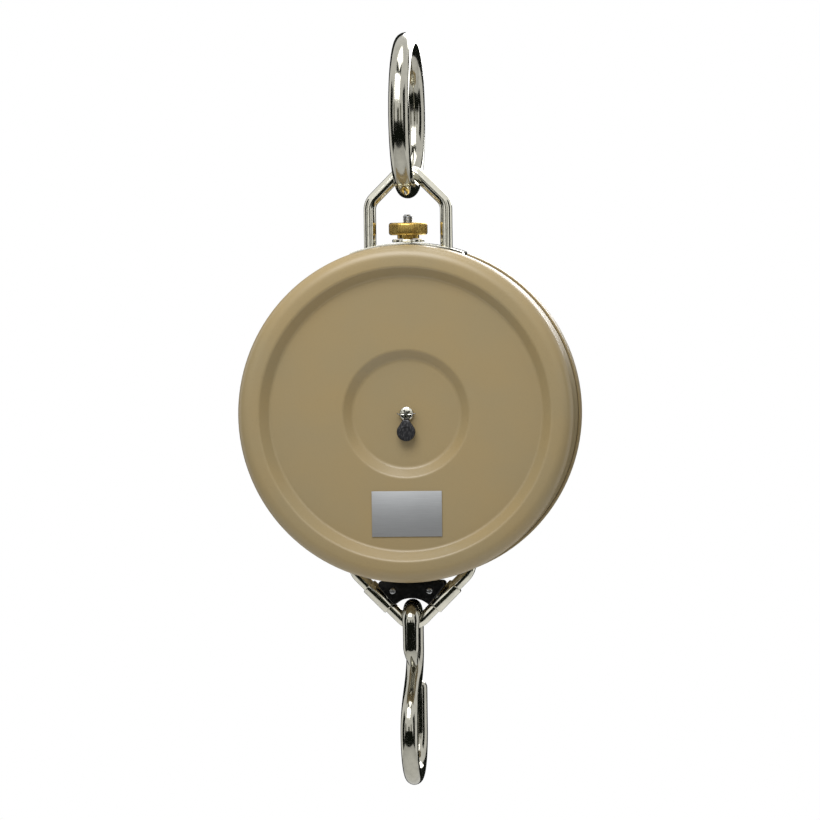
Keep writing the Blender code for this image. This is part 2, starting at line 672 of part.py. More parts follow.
def make_springs(shop):
    length, depth, height = HANGER_BAR
    stud_hole = circle((0, 0), STUD_DIAMETER / 2 + GAP)
    lugged_bar(shop, "hanger_bar", [rectangle((0, 0), length, depth), stud_hole], height, -1,
               "nut_axis", (0, 0, HANGER_HEIGHT + height / 2 - SEAT_TOP))
    nut = 5 * MM
    plate(shop, "hanger_nut", hexagon(11 * MM, STUD_DIAMETER + 2 * GAP), nut, "nut_axis", "steel",
          (0, 0, HANGER_HEIGHT - GAP - nut / 2 - SEAT_TOP), UPRIGHT)

    length, depth, height = CROSSBAR
    holes = [circle((sign * LINK_SPREAD / 2, 0), LINK_ROD / 2 + GAP) for sign in (-1, 1)]
    holes.append(rectangle((STEM_MIDDLE, 0), RACK_STEM + 2 * GAP, RACK_WIDTH + 2 * GAP))
    lugged_bar(shop, "load_crossbar", [rectangle((0, 0), length, depth)] + holes, height, 1,
               "drum", (0, 0, -CROSSBAR_TOP - height / 2))

    high = HANGER_HEIGHT - 2 * GAP - SPRING_WIRE / 2
    low = -CROSSBAR_TOP + 2 * GAP + SPRING_WIRE / 2
    around = 8
    radius = (SPRING_OUTSIDE - SPRING_WIRE) / 2 / cos(pi / around)
    count = SPRING_TURNS * around
    for name, sign in both("spring"):
        coil = []
        for i in range(count + 1):
            angle = 2 * pi * (i + 0.5) / around
            x, y = radius * cos(angle), radius * sin(angle)
            coil.append((sign * SPRING_SPREAD / 2 + x, y, low + (high - low) * i / count))
        rod(shop, name, coil, SPRING_WIRE, "drum", "steel", sides=2)


def gear_outline():
    """The pinion's outline: trapezoid teeth with running clearance."""
    tip = PITCH_RADIUS + 0.8 * GEAR_MODULE
    root = PITCH_RADIUS - 1.2 * GEAR_MODULE
    points = []
    for tooth in range(PINION_TEETH):
        middle = 2 * pi * (tooth + 0.5) / PINION_TEETH
        for radius, share in ((root, -0.26), (tip, -0.1), (tip, 0.1), (root, 0.26)):
            angle = middle + share * 2 * pi / PINION_TEETH
            points.append((radius * cos(angle), radius * sin(angle)))
    return points


def make_movement(shop):
    bore = ARBOR_DIAMETER / 2 + GAP
    rear_end = FRAME_OUTSIDE + 2.4 * MM
    front_end = DIAL_FACE + POINTER_STANDOFF + POINTER_SHEET + GAP
    turned(shop, "arbor", disc(ARBOR_DIAMETER / 2, -front_end, rear_end), "arbor_axis", "steel",
           turn=FACING_REAR, steps=12)
    plate(shop, "pinion", [gear_outline(), circle((0, 0), bore, 12)], PINION_WIDTH, "arbor_axis", "brass")
    bush = [
        (bore, FRAME_INSIDE - GAP),
        (BUSH_RADIUS, FRAME_INSIDE - GAP),
        (BUSH_RADIUS, FRAME_OUTSIDE + GAP),
        (BUSH_RADIUS + 1.5 * MM, FRAME_OUTSIDE + GAP),
        (BUSH_RADIUS + 1.5 * MM, FRAME_OUTSIDE + 1.3 * MM),
        (bore, FRAME_OUTSIDE + 1.3 * MM),
    ]
    turned(shop, "arbor_bush_rear", bush, "arbor_axis", "brass", turn=FACING_REAR)
    turned(shop, "arbor_bush_front", bush, "arbor_axis", "brass", turn=(-pi / 2, 0, 0))

    low = -CROSSBAR_TOP + GAP
    teeth = ceil((TRAVEL / TOOTH_PITCH) / 2 + 2)
    first = -2
    tip, root = RACK_FACE + 0.8 * GEAR_MODULE, RACK_FACE - 1.2 * GEAR_MODULE
    outline = [(RACK_REAR, low), (STEM_MIDDLE - RACK_STEM / 2, low)]
    stem_foot = -CROSSBAR_TOP - CROSSBAR[2] - 7 * MM
    outline += [(STEM_MIDDLE - RACK_STEM / 2, stem_foot), (STEM_MIDDLE + RACK_STEM / 2, stem_foot)]
    outline += [(STEM_MIDDLE + RACK_STEM / 2, low), (root, low)]
    last = first + 2 * teeth
    for tooth in range(first, last + 1):
        z = tooth * TOOTH_PITCH
        outline += [(root, z - 0.26 * TOOTH_PITCH), (tip, z - 0.1 * TOOTH_PITCH)]
        outline += [(tip, z + 0.1 * TOOTH_PITCH), (root, z + 0.26 * TOOTH_PITCH)]
    high = last * TOOTH_PITCH + 2 * MM
    outline += [(root, high), (RACK_REAR, high)]
    plate(shop, "rack", [outline], RACK_WIDTH, "drum", "steel")
    nut = 4 * MM
    plate(shop, "rack_nut", hexagon(10 * MM, hypot(RACK_STEM, RACK_WIDTH) + 2 * GAP), nut, "drum", "steel",
          (STEM_MIDDLE, 0, -CROSSBAR_TOP - CROSSBAR[2] - GAP - nut / 2), UPRIGHT)
    width = 2 * (RACK_REAR - GAP - GUIDE_MIDDLE)
    plate(shop, "rack_guide", [rectangle((GUIDE_MIDDLE, 0), width, 16 * MM)], 2 * (FRAME_INSIDE - GAP),
          "drum", "brass")


def make_dial(shop):
    small = SMALL_SCREW / 2 + GAP
    holes = [circle((0, z * DIAL_POST), small, SCREW_STEPS) for z in (-1, 1)] + [circle((0, 0), 5 * MM)]
    plate(shop, "dial_plate", [circle((0, 0), DRUM_BORE - DIAL_EDGE_CLEARANCE, LARGE_STEPS)] + holes,
          DIAL_THICKNESS, "drum", "white", (0, DIAL_DEPTH + DIAL_THICKNESS / 2, 0))
    post = tube(small, 3.2 * MM, -DIAL_DEPTH + GAP, -FRAME_OUTSIDE - GAP)
    reach = DIAL_FACE - FRAME_INSIDE
    for level, z in (("upper", DIAL_POST), ("lower", -DIAL_POST)):
        turned(shop, level + "_dial_post", post, "drum", "brass", (0, 0, z), FACING_REAR, 12)
        turned(shop, level + "_dial_screw", pan_screw(SMALL_SCREW, reach), "drum", "steel",
               (0, DIAL_FACE + GAP - reach, z), (-pi / 2, 0, 0), SCREW_STEPS)

    bore = ARBOR_DIAMETER / 2 + GAP
    blade = DIAL_FACE + POINTER_STANDOFF
    flange, boss = 8 * MM, 3.6 * MM
    hub = [
        (bore, -DIAL_FACE - 1.5 * MM),
        (flange, -DIAL_FACE - 1.5 * MM),
        (flange, -blade + GAP),
        (boss, -blade + GAP),
        (boss, -blade - POINTER_SHEET - GAP),
        (bore, -blade - POINTER_SHEET - GAP),
    ]
    turned(shop, "pointer_hub", hub, "arbor_axis", "brass", turn=FACING_REAR, steps=20)
    ring = [p for p in arc((0, 0), 9 * MM, radians(105), radians(255), 8)]
    tip, tail = POINTER_LENGTH, POINTER_TAIL
    sides = [(1.2 * MM, tip - 6 * MM), (0, tip), (-1.2 * MM, tip - 6 * MM)]
    outline = sides + ring + [(-4.5 * MM, -tail), (4.5 * MM, -tail)]
    outline += [(-x, y) for x, y in reversed(ring)]
    plate(shop, "pointer_blade", [outline, circle((0, 0), boss + GAP, 20)], POINTER_SHEET, "arbor_axis",
          "black", (0, blade + POINTER_SHEET / 2, 0))
    face = blade + POINTER_SHEET + 2 * GAP
    cap = [(0, -face - 2.6 * MM), (3 * MM, -face - 2.3 * MM), (5.5 * MM, -face - 0.9 * MM), (5.5 * MM, -face)]
    cap += [(0, -face)]
    turned(shop, "pointer_cap", cap, "arbor_axis", "brass", turn=FACING_REAR, steps=20)


def make_guard(shop):
    shoulder, tip = GUARD_SHOULDER / 2, GUARD_TIP_SPREAD / 2
    lip = 2.5 * MM
    base = GUARD_TOP - GUARD_HEIGHT
    tab_top = BOTTOM_BLOCK_BASE + BOTTOM_BLOCK[1] + 1 * MM
    arc_rise = sqrt(GUARD_ARC ** 2 - tip ** 2)
    edge = atan2(arc_rise, tip)
    scoop = arc((0, base - arc_rise), GUARD_ARC, edge, pi - edge, 10)
    outline = [(tip, base)] + scoop[1:-1] + [
        (-tip, base),
        (-shoulder, GUARD_TOP - lip),
        (-shoulder + lip, GUARD_TOP),
        (-GUARD_TAB / 2, GUARD_TOP),
        (-GUARD_TAB / 2, tab_top),
        (GUARD_TAB / 2, tab_top),
        (GUARD_TAB / 2, GUARD_TOP),
        (shoulder - lip, GUARD_TOP),
        (shoulder, GUARD_TOP - lip),
    ]
    frame_holes = [circle((x * FRAME_SCREW_OFFSET, BOTTOM_SCREW_HEIGHT), FRAME_SCREW / 2 + GAP, SCREW_STEPS)
                   for x in (-1, 1)]
    out, down = GUARD_SCREW
    small = SMALL_SCREW / 2 + GAP
    holes = [circle((x * out, GUARD_TOP - down), small, SCREW_STEPS) for x in (-1, 1)]
    middle = (GUARD_SPACE + GUARD_THICKNESS) / 2
    for name, side in (("guard_rear", -1), ("guard_front", 1)):
        plate(shop, name, [outline] + frame_holes + holes, GUARD_THICKNESS, "drum", "black",
              (0, side * middle, 0))
    length = GUARD_SPACE / 2 - GAP
    reach = GUARD_SPACE + 2 * GUARD_THICKNESS + GAP
    head = (2.1 * MM, 1.4 * MM)
    for name, sign in both("guard_spacer"):
        turned(shop, name, tube(small, 3.2 * MM, -length, length), "drum", "steel",
               (sign * out, 0, GUARD_TOP - down), FACING_REAR, 12)
    for name, sign in both("guard_screw"):
        turned(shop, name, pan_screw(SMALL_SCREW, reach, head), "drum", "chrome",
               (sign * out, GUARD_SPACE / 2 + GUARD_THICKNESS, GUARD_TOP - down), FACING_REAR, SCREW_STEPS)


def make_link(shop):
    slope = tan(LINK_SLOPE)
    point = LINK_APEX - LINK_APEX_BEND * (1 / cos(LINK_SLOPE) - 1)
    side = LINK_SPREAD / 2
    split = GAP * cos(LINK_SLOPE)
    middle = Vector((SLEEVE_OUT, 0, point + SLEEVE_OUT * slope))
    along = Vector((cos(LINK_SLOPE), 0, sin(LINK_SLOPE)))
    top = -CROSSBAR_TOP + 9 * MM
    arm = bent_path([(side, 0, top), (side, 0, point + side * slope), middle + along * split], (LINK_BEND,))
    for name, sign in both("link_arm"):
        rod(shop, name, [(sign * x, y, z) for x, y, z in arm], LINK_ROD, "drum", "chrome")
    end = middle - along * split
    corners = [(-end.x, 0, end.z), (0, 0, point), (end.x, 0, end.z)]
    rod(shop, "link_vee", bent_path(corners, (LINK_APEX_BEND,), 8), LINK_ROD, "drum", "chrome")
    outside, length = SLEEVE
    for name, sign in both("link_sleeve"):
        turned(shop, name, tube(LINK_ROD / 2 + GAP, outside / 2, -length / 2, length / 2), "drum", "chrome",
               (sign * middle.x, 0, middle.z), (0, sign * (pi / 2 - LINK_SLOPE), 0), 20)
    nut = 6 * MM
    for name, sign in both("arm_nut"):
        plate(shop, name, hexagon(13 * MM, LINK_ROD + 2 * GAP), nut, "drum", "steel",
              (sign * side, 0, -CROSSBAR_TOP + GAP + nut / 2), UPRIGHT)


def make_hook(shop):
    """An S bent in the depth plane: a closed eye on the link and an open bowl below it."""
    eye = HOOK_EYE / 2
    crown = LINK_APEX_BEND - eye
    leg = crown - HOOK_EYE_LEG
    bowl = HOOK_BOWL / 2
    bowl_centre = -HOOK_BOWL_DROP
    end = (-1.8 * MM, leg - 10.6 * MM)
    path = [end] + bezier(end, (end[0] - 5 * MM, end[1] + 4 * MM), (-eye, leg - 5 * MM), (-eye, leg), 4)
    path += arc((0, crown), eye, pi, 0, 8)
    path += bezier((eye, crown), (eye, crown - 6 * MM), (eye, leg + 6 * MM), (eye, leg), 2)
    pull = 27 * MM
    path += bezier((eye, leg), (eye, leg - pull), (-bowl, bowl_centre + pull), (-bowl, bowl_centre), 10)
    path += arc((0, bowl_centre), bowl, pi, 2 * pi, 14)[1:]
    reach = bowl_centre + HOOK_TIP_RISE
    path += [(bowl, bowl_centre + HOOK_TIP_RISE / 2)]
    radius = HOOK_ROD / 2
    points = []
    for i, (y, z) in enumerate(path):
        taper = min(1.0, HOOK_EYE_END + (1 - HOOK_EYE_END) * i / 5)
        points.append((0, y, z, taper))
    points.insert(0, (0, path[0][0] + 0.9 * MM, path[0][1] - 0.8 * MM, HOOK_EYE_END * 0.6))
    for share in (0.0, 0.45, 0.75, 0.93):
        points.append((0, bowl, reach - radius * (1 - share), sqrt(1 - share ** 2)))
    rod(shop, "hook", points, HOOK_ROD, "hook_axis", "chrome")


def main():
    clean_scene()
    shop = Shop()
    make_pivots(shop)
    make_ring_and_bail(shop)
    make_zero_adjuster(shop)
    make_case(shop)
    make_frame(shop)
    make_cover_bridge(shop)
    make_springs(shop)
    make_movement(shop)
    make_dial(shop)
    make_guard(shop)
    make_link(shop)
    make_hook(shop)


main()
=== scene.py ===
"""Looks of the hanging spring scale: finishes, fine surfaces, dial, stage and camera."""

import json
from math import atan2, cos, pi, radians, sin, sqrt, tan

import bmesh
import bpy
from mathutils import Matrix, Vector


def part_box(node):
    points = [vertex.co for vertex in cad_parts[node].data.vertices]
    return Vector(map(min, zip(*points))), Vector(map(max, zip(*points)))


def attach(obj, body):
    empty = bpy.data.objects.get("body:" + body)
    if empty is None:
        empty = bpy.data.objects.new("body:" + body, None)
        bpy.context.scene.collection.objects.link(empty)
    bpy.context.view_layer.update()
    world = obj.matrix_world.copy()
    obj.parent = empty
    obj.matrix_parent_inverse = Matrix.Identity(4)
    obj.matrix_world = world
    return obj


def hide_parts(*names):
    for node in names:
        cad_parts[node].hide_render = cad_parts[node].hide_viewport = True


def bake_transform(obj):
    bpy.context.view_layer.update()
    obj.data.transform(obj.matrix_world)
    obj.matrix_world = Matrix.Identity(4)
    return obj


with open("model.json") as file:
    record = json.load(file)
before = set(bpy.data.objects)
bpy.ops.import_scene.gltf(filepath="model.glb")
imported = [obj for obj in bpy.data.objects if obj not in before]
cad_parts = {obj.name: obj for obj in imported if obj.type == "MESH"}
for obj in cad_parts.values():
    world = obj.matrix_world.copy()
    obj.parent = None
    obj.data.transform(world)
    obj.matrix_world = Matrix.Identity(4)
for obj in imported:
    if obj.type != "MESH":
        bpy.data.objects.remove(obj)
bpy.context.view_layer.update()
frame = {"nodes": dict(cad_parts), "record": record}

bl_info = {
    "name": "Hanging Spring Scale",
    "version": (1, 0, 0),
    "blender": (4, 5, 0),
    "location": "View3D > Sidebar > Scale",
    "description": "Finishes and fine surfaces of a hanging spring scale",
    "category": "Object",
}

MM = 0.001


def box(node):
    low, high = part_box(node)
    return Vector(low), Vector(high)


def span(node):
    low, high = box(node)
    return high - low


def middle(node):
    low, high = box(node)
    return (low + high) / 2


JOINTS = {joint["name"]: joint for joint in frame["record"]["behaviour"]["joints"]}
DRUM = middle("drum_shell")
DRUM_RADIUS = span("drum_shell").x / 2
COVER_RADIUS = span("rear_cover").x / 2
COVER_BACK = -box("rear_cover")[0].y
TRAVEL_TO_TURN = frame["record"]["behaviour"]["couplings"][1]["ratio"]
FULL_TURN = TRAVEL_TO_TURN * JOINTS["load_travel"]["range_m"][1]


class ScaleSizes(bpy.types.PropertyGroup):
    """Sizes and colours of the fine surfaces that a user would change."""

    rod_sides: bpy.props.IntProperty(
        name="Rod sides", description="Facets around a bent rod's quarter", default=9, min=2, max=24
    )
    turned_steps: bpy.props.IntProperty(
        name="Turned steps", description="Facets around a large turned piece", default=144, min=24, max=360
    )
    thread_pitch: bpy.props.FloatProperty(
        name="Thread pitch", description="Pitch of the zero stud's thread", default=1.0 * MM, unit="LENGTH"
    )
    knurl_count: bpy.props.IntProperty(
        name="Knurl count", description="Grooves around the zero nut", default=72, min=0, max=200
    )
    dial_divisions: bpy.props.IntProperty(
        name="Dial divisions", description="Ticks over the pointer's full turn", default=100, min=10
    )
    paint: bpy.props.FloatVectorProperty(
        name="Case paint", description="Colour of the case", subtype="COLOR", size=3,
        default=(0.312, 0.242, 0.125)
    )
    plating: bpy.props.FloatVectorProperty(
        name="Plating", description="Colour of the bright plating", subtype="COLOR", size=3,
        default=(0.72, 0.70, 0.60)
    )
    brass: bpy.props.FloatVectorProperty(
        name="Brass", description="Colour of the zero nut", subtype="COLOR", size=3,
        default=(0.60, 0.42, 0.12)
    )


def sizes():
    return bpy.context.scene.scale_sizes


class Number:
    """A shader value: arithmetic on it adds Math nodes."""

    def __init__(self, shade, socket):
        self.shade = shade
        self.socket = socket

    def math(self, operation, *others):
        return self.shade.node("ShaderNodeMath", {"operation": operation}, [self, *others])

    def __add__(self, other):
        return self.math("ADD", other)

    def __sub__(self, other):
        return self.math("SUBTRACT", other)

    def __mul__(self, other):
        return self.math("MULTIPLY", other)

    def __rsub__(self, other):
        return self.shade.node("ShaderNodeMath", {"operation": "SUBTRACT"}, [other, self])

    __radd__ = __add__
    __rmul__ = __mul__


class Shade:
    """One material under construction."""

    def __init__(self, name):
        self.material = bpy.data.materials.new(name)
        self.material.use_nodes = True
        self.tree = self.material.node_tree
        self.shader = self.tree.nodes["Principled BSDF"]

    def feed(self, socket, value):
        if isinstance(value, Number):
            self.tree.links.new(value.socket, socket)
        else:
            socket.default_value = value

    def node(self, kind, settings=None, inputs=None, output=0, stops=None):
        made = self.tree.nodes.new(kind)
        for key, value in (settings or {}).items():
            setattr(made, key, value)
        if stops:
            while len(made.color_ramp.elements) < len(stops):
                made.color_ramp.elements.new(0.5)
            for element, (place, colour) in zip(made.color_ramp.elements, stops):
                element.position = place
                element.color = colour
        pairs = inputs.items() if isinstance(inputs, dict) else enumerate(inputs or [])
        for key, value in pairs:
            self.feed(made.inputs[key], value)
        return Number(self, made.outputs[output])

    def place(self, scale=(1, 1, 1)):
        where = self.node("ShaderNodeTexCoord", output="Object")
        return self.node("ShaderNodeMapping", inputs={"Vector": where, "Scale": scale})

    def noise(self, size, detail=3.0, stretch=(1, 1, 1)):
        """Noise whose blobs are about size across."""
        place = self.place(tuple(1 / (size * s) for s in stretch))
        return self.node("ShaderNodeTexNoise", inputs={"Vector": place, "Scale": 1.0, "Detail": detail})

    def ramp(self, value, low, high, start=0.0, end=1.0):
        return self.node("ShaderNodeMapRange", {"clamp": True}, {
            "Value": value, "From Min": low, "From Max": high, "To Min": start, "To Max": end})

    def mix(self, factor, first, second):
        made = self.tree.nodes.new("ShaderNodeMix")
        made.data_type = "RGBA"
        self.feed(made.inputs[0], factor)
        for socket, colour in ((made.inputs[6], first), (made.inputs[7], second)):
            self.feed(socket, colour if isinstance(colour, Number) else (*colour, 1.0))
        return Number(self, made.outputs[2])

    def bump(self, height, strength, distance):
        return self.node("ShaderNodeBump", inputs={
            "Height": height, "Strength": strength, "Distance": distance})

    def set(self, **inputs):
        for key, value in inputs.items():
            name = key.replace("_", " ").title().replace("Ior", "IOR")
            if name == "Base Color" and not isinstance(value, Number):
                value = (*value, 1.0)
            self.feed(self.shader.inputs[name], value)
        return self.material


def darker(colour, share):
    return tuple(channel * share for channel in colour)


def bright_plating(name, share):
    """Chrome: mirror bright, with faint polishing waves, haze and a few dull handling marks."""
    shade = Shade(name)
    colour = darker(sizes().plating, share)
    waves = shade.noise(14 * MM, 2.0)
    haze = shade.ramp(shade.noise(5 * MM, 4.0), 0.42, 0.7)
    pits = shade.ramp(shade.noise(0.9 * MM, 2.0), 0.68, 0.74)
    height = waves * 0.6 + pits * -0.25
    tint = shade.mix(haze, colour, darker(colour, 0.86))
    tint = shade.mix(pits * 0.5, tint, darker(colour, 0.45))
    return shade.set(base_color=tint, metallic=1.0, roughness=haze * 0.08 + 0.09,
                     normal=shade.bump(height, 0.12, 0.6 * MM))


def case_paint():
    """Stoved beige paint: satin, a slight orange peel and fine specks."""
    shade = Shade("case_paint")
    colour = tuple(sizes().paint)
    cloud = shade.ramp(shade.noise(45 * MM, 3.0), 0.35, 0.7)
    speck = shade.ramp(shade.noise(0.55 * MM, 1.0), 0.6, 0.72)
    warm = (colour[0] * 1.05, colour[1] * 1.0, colour[2] * 0.9)
    tint = shade.mix(cloud, colour, warm)
    tint = shade.mix(speck * 0.35, tint, darker(colour, 0.72))
    peel = shade.noise(1.6 * MM, 2.0)
    return shade.set(base_color=tint, metallic=0.0, roughness=cloud * 0.07 + 0.36, coat_weight=0.15,
                     coat_roughness=0.25, normal=shade.bump(peel, 0.10, 0.25 * MM))


def turned_brass():
    """Brass turned on a lathe: fine rings and a warm tarnish in patches."""
    shade = Shade("turned_brass")
    colour = tuple(sizes().brass)
    rings = shade.noise(0.25 * MM, 1.0, (60, 60, 1))
    tarnish = shade.ramp(shade.noise(4 * MM, 4.0), 0.42, 0.68)
    tint = shade.mix(tarnish * 0.7, colour, (0.26, 0.14, 0.03))
    return shade.set(base_color=tint, metallic=1.0, roughness=tarnish * 0.2 + 0.2,
                     normal=shade.bump(rings, 0.15, 0.1 * MM))


def black_enamel():
    """Thick black enamel on pressed steel, with a little dust."""
    shade = Shade("black_enamel")
    dust = shade.ramp(shade.noise(2.2 * MM, 4.0), 0.5, 0.8)
    tint = shade.mix(dust * 0.6, (0.002, 0.002, 0.002), (0.014, 0.013, 0.012))
    peel = shade.noise(1.1 * MM, 2.0)
    return shade.set(base_color=tint, metallic=0.0, roughness=dust * 0.2 + 0.28,
                     normal=shade.bump(peel, 0.15, 0.2 * MM))


def plated_steel(name, colour, roughness):
    """Zinc plated or ground steel with a fine grain."""
    shade = Shade(name)
    grain = shade.noise(0.4 * MM, 2.0, (1, 1, 12))
    bloom = shade.ramp(shade.noise(6 * MM, 3.0), 0.4, 0.7)
    tint = shade.mix(bloom, colour, darker(colour, 0.78))
    return shade.set(base_color=tint, metallic=1.0, roughness=bloom * 0.12 + roughness,
                     normal=shade.bump(grain, 0.12, 0.08 * MM))


def dull_lead():
    """Pressed lead: dark, soft sheen, scratched."""
    shade = Shade("dull_lead")
    marks = shade.ramp(shade.noise(0.8 * MM, 4.0, (1, 1, 3)), 0.45, 0.7)
    tint = shade.mix(marks, (0.030, 0.030, 0.033), (0.12, 0.12, 0.125))
    return shade.set(base_color=tint, metallic=0.8, roughness=0.46 - marks * 0.12,
                     normal=shade.bump(marks, 0.4, 0.2 * MM))


def bare_label():
    """A blank anodised label: brushed along its length."""
    shade = Shade("bare_label")
    brush = shade.noise(0.3 * MM, 2.0, (40, 1, 1))
    tint = shade.mix(brush, (0.36, 0.37, 0.38), (0.47, 0.48, 0.49))
    return shade.set(base_color=tint, metallic=0.6, roughness=brush * 0.1 + 0.38,
                     normal=shade.bump(brush, 0.1, 0.05 * MM))


def plain_finish(name, colour, roughness, grain_size, share):
    """Paint, ink or rubber: one colour, with a fine grain of a darker one."""
    shade = Shade(name)
    grain = shade.ramp(shade.noise(grain_size, 3.0), 0.4, 0.7)
    tint = shade.mix(grain, colour, darker(colour, share))
    return shade.set(base_color=tint, metallic=0.0, roughness=grain * 0.1 + roughness,
                     normal=shade.bump(grain, 0.08, 0.1 * MM))


def window_glass():
    shade = Shade("window_glass")
    smear = shade.ramp(shade.noise(30 * MM, 3.0), 0.45, 0.75)
    shade.material.surface_render_method = "BLENDED"
    return shade.set(base_color=(0.93, 0.96, 0.95), roughness=smear * 0.05 + 0.02,
                     alpha=smear * 0.03 + 0.10, coat_weight=0.5)


FINISH = {}


def make_finishes():
    FINISH.update(
        plating=bright_plating("bright_plating", 1.0),
        # A copy of the chrome darkened to 0.62 for the ring and hook: painted shade standing in for their dark
        # reflections.
        forged=bright_plating("chrome_with_painted_shade", 0.62),
        paint=case_paint(),
        brass=turned_brass(),
        enamel=black_enamel(),
        steel=plated_steel("plated_steel", (0.50, 0.51, 0.52), 0.24),
        spring=plated_steel("spring_steel", (0.22, 0.23, 0.25), 0.28),
        lead=dull_lead(),
        label=bare_label(),
        dial=plain_finish("dial_paint", (0.82, 0.815, 0.78), 0.42, 0.7 * MM, 0.97),
        ink=plain_finish("dial_ink", (0.012, 0.012, 0.013), 0.5, 0.5 * MM, 0.7),
        rubber=plain_finish("black_rubber", (0.03, 0.03, 0.03), 0.7, 1.5 * MM, 0.6),
        glass=window_glass(),
    )




# Modelling helpers: each leaves one mesh object at the origin, its place in its mesh.
def clear_selection():
    if bpy.context.mode != "OBJECT":
        bpy.ops.object.mode_set(mode="OBJECT")
    bpy.ops.object.select_all(action="DESELECT")


def choose(thing):
    clear_selection()
    thing.select_set(True)
    bpy.context.view_layer.objects.active = thing


def settle(thing, name, matrix=None):
    """Names the piece and moves its place into its mesh."""
    if matrix is not None:
        thing.data.transform(matrix)
    choose(thing)
    bpy.ops.object.transform_apply(location=True, rotation=True, scale=True)
    thing.name = name
    thing.data.name = name
    return thing


def finish_piece(thing, finish, body, *nodes, smooth=40):
    thing.data.materials.clear()
    thing.data.materials.append(FINISH[finish])
    if smooth:
        choose(thing)
        bpy.ops.object.shade_smooth_by_angle(angle=radians(smooth))
    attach(thing, body)
    if nodes:
        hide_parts(*nodes)
    return thing


TO_REAR = Matrix.Rotation(pi / 2, 4, "X")


def lathe(name, profile, steps=None):
    """Turns a closed (radius, height) outline about Z; points on the axis close it there."""
    clear_selection()
    bpy.ops.mesh.primitive_plane_add(size=1 * MM, location=(0, 0, 0))
    thing = bpy.context.object
    bpy.ops.object.mode_set(mode="EDIT")
    bpy.ops.mesh.merge(type="CENTER")
    start = Vector((profile[0][0], 0, profile[0][1]))
    bpy.ops.transform.translate(value=start)
    here = start
    closed = profile + ([profile[0]] if all(p[0] > 0 for p in profile) else [])
    for radius, height in closed[1:]:
        there = Vector((radius, 0, height))
        bpy.ops.mesh.extrude_region_move(TRANSFORM_OT_translate={"value": there - here})
        here = there
    bpy.ops.mesh.select_all(action="SELECT")
    bpy.ops.mesh.spin(steps=steps or sizes().turned_steps, angle=2 * pi, center=(0, 0, 0), axis=(0, 0, 1))
    bpy.ops.mesh.select_all(action="SELECT")
    bpy.ops.mesh.remove_doubles(threshold=0.002 * MM)
    bpy.ops.mesh.normals_make_consistent(inside=False)
    bpy.ops.object.mode_set(mode="OBJECT")
    thing.name = name
    return thing


def fillet(profile, radii, steps=4):
    """The closed outline with its corners rounded: radii maps a corner's number to a radius."""
    made = []
    count = len(profile)
    for i, point in enumerate(profile):
        if i not in radii:
            made.append(point)
            continue
        corner = Vector(point)
        back = (Vector(profile[i - 1]) - corner).normalized()
        on = (Vector(profile[(i + 1) % count]) - corner).normalized()
        half = back.angle(on) / 2
        centre = corner + (back + on).normalized() * radii[i] / sin(half)
        start = corner + back * radii[i] / tan(half) - centre
        end = corner + on * radii[i] / tan(half) - centre
        sweep = start.angle(end)
        for k in range(steps + 1):
            share = k / steps
            arm = (start * sin((1 - share) * sweep) + end * sin(share * sweep)) / sin(sweep)
            made.append(tuple(centre + arm))
    return made


def bent_path(corners, bends, steps=14):
    """A path through the corners, each inner corner rounded to its bend radius."""
    path = [Vector(corners[0])]
    for i, bend in enumerate(bends, start=1):
        before, corner, after = (Vector(corners[j]) for j in (i - 1, i, i + 1))
        back, on = (before - corner).normalized(), (after - corner).normalized()
        half = back.angle(on) / 2
        centre = corner + (back + on).normalized() * bend / sin(half)
        start = corner + back * bend / tan(half) - centre
        end = corner + on * bend / tan(half) - centre
        sweep = start.angle(end)
        for k in range(steps + 1):
            share = k / steps
            path.append(centre + (start * sin((1 - share) * sweep) + end * sin(share * sweep)) / sin(sweep))
    path.append(Vector(corners[-1]))
    return path


def bent_rod(name, path, radius, scales=None, closed=False, sides=None):
    """A round rod along the path, made a mesh with its ends closed."""
    clear_selection()
    bpy.ops.curve.primitive_nurbs_path_add(radius=1, location=(0, 0, 0))
    thing = bpy.context.object
    curve = thing.data
    curve.splines.clear()
    spline = curve.splines.new("POLY")
    spline.points.add(len(path) - 1)
    for i, (point, where) in enumerate(zip(spline.points, path)):
        point.co = (*where, 1)
        point.radius = scales[i] if scales else 1.0
    spline.use_cyclic_u = closed
    curve.bevel_depth = radius
    curve.bevel_resolution = sides or sizes().rod_sides
    curve.use_fill_caps = not closed
    choose(thing)
    bpy.ops.object.convert(target="MESH")
    bpy.ops.object.mode_set(mode="EDIT")
    bpy.ops.mesh.select_all(action="SELECT")
    bpy.ops.mesh.remove_doubles(threshold=0.002 * MM)
    bpy.ops.mesh.normals_make_consistent(inside=False)
    bpy.ops.object.mode_set(mode="OBJECT")
    thing.name = name
    return thing


def slab(name, outline, low, high):
    """An outline in X and Z made a slab from depth low to depth high."""
    clear_selection()
    bpy.ops.mesh.primitive_plane_add(size=1 * MM, location=(0, 0, 0))
    thing = bpy.context.object
    shape = bmesh.new()
    corners = [shape.verts.new((x, low, z)) for x, z in outline]
    shape.faces.new(corners)
    shape.to_mesh(thing.data)
    shape.free()
    bpy.ops.object.mode_set(mode="EDIT")
    bpy.ops.mesh.select_all(action="SELECT")
    bpy.ops.mesh.extrude_region_move(TRANSFORM_OT_translate={"value": (0, high - low, 0)})
    bpy.ops.mesh.select_all(action="SELECT")
    bpy.ops.mesh.normals_make_consistent(inside=False)
    bpy.ops.object.mode_set(mode="OBJECT")
    thing.name = name
    return thing


def bevel(thing, width, segments=3, angle=35):
    choose(thing)
    edge = thing.modifiers.new("edge", "BEVEL")
    edge.width = width
    edge.segments = segments
    edge.limit_method = "ANGLE"
    edge.angle_limit = radians(angle)
    bpy.ops.object.modifier_apply(modifier="edge")
    return thing


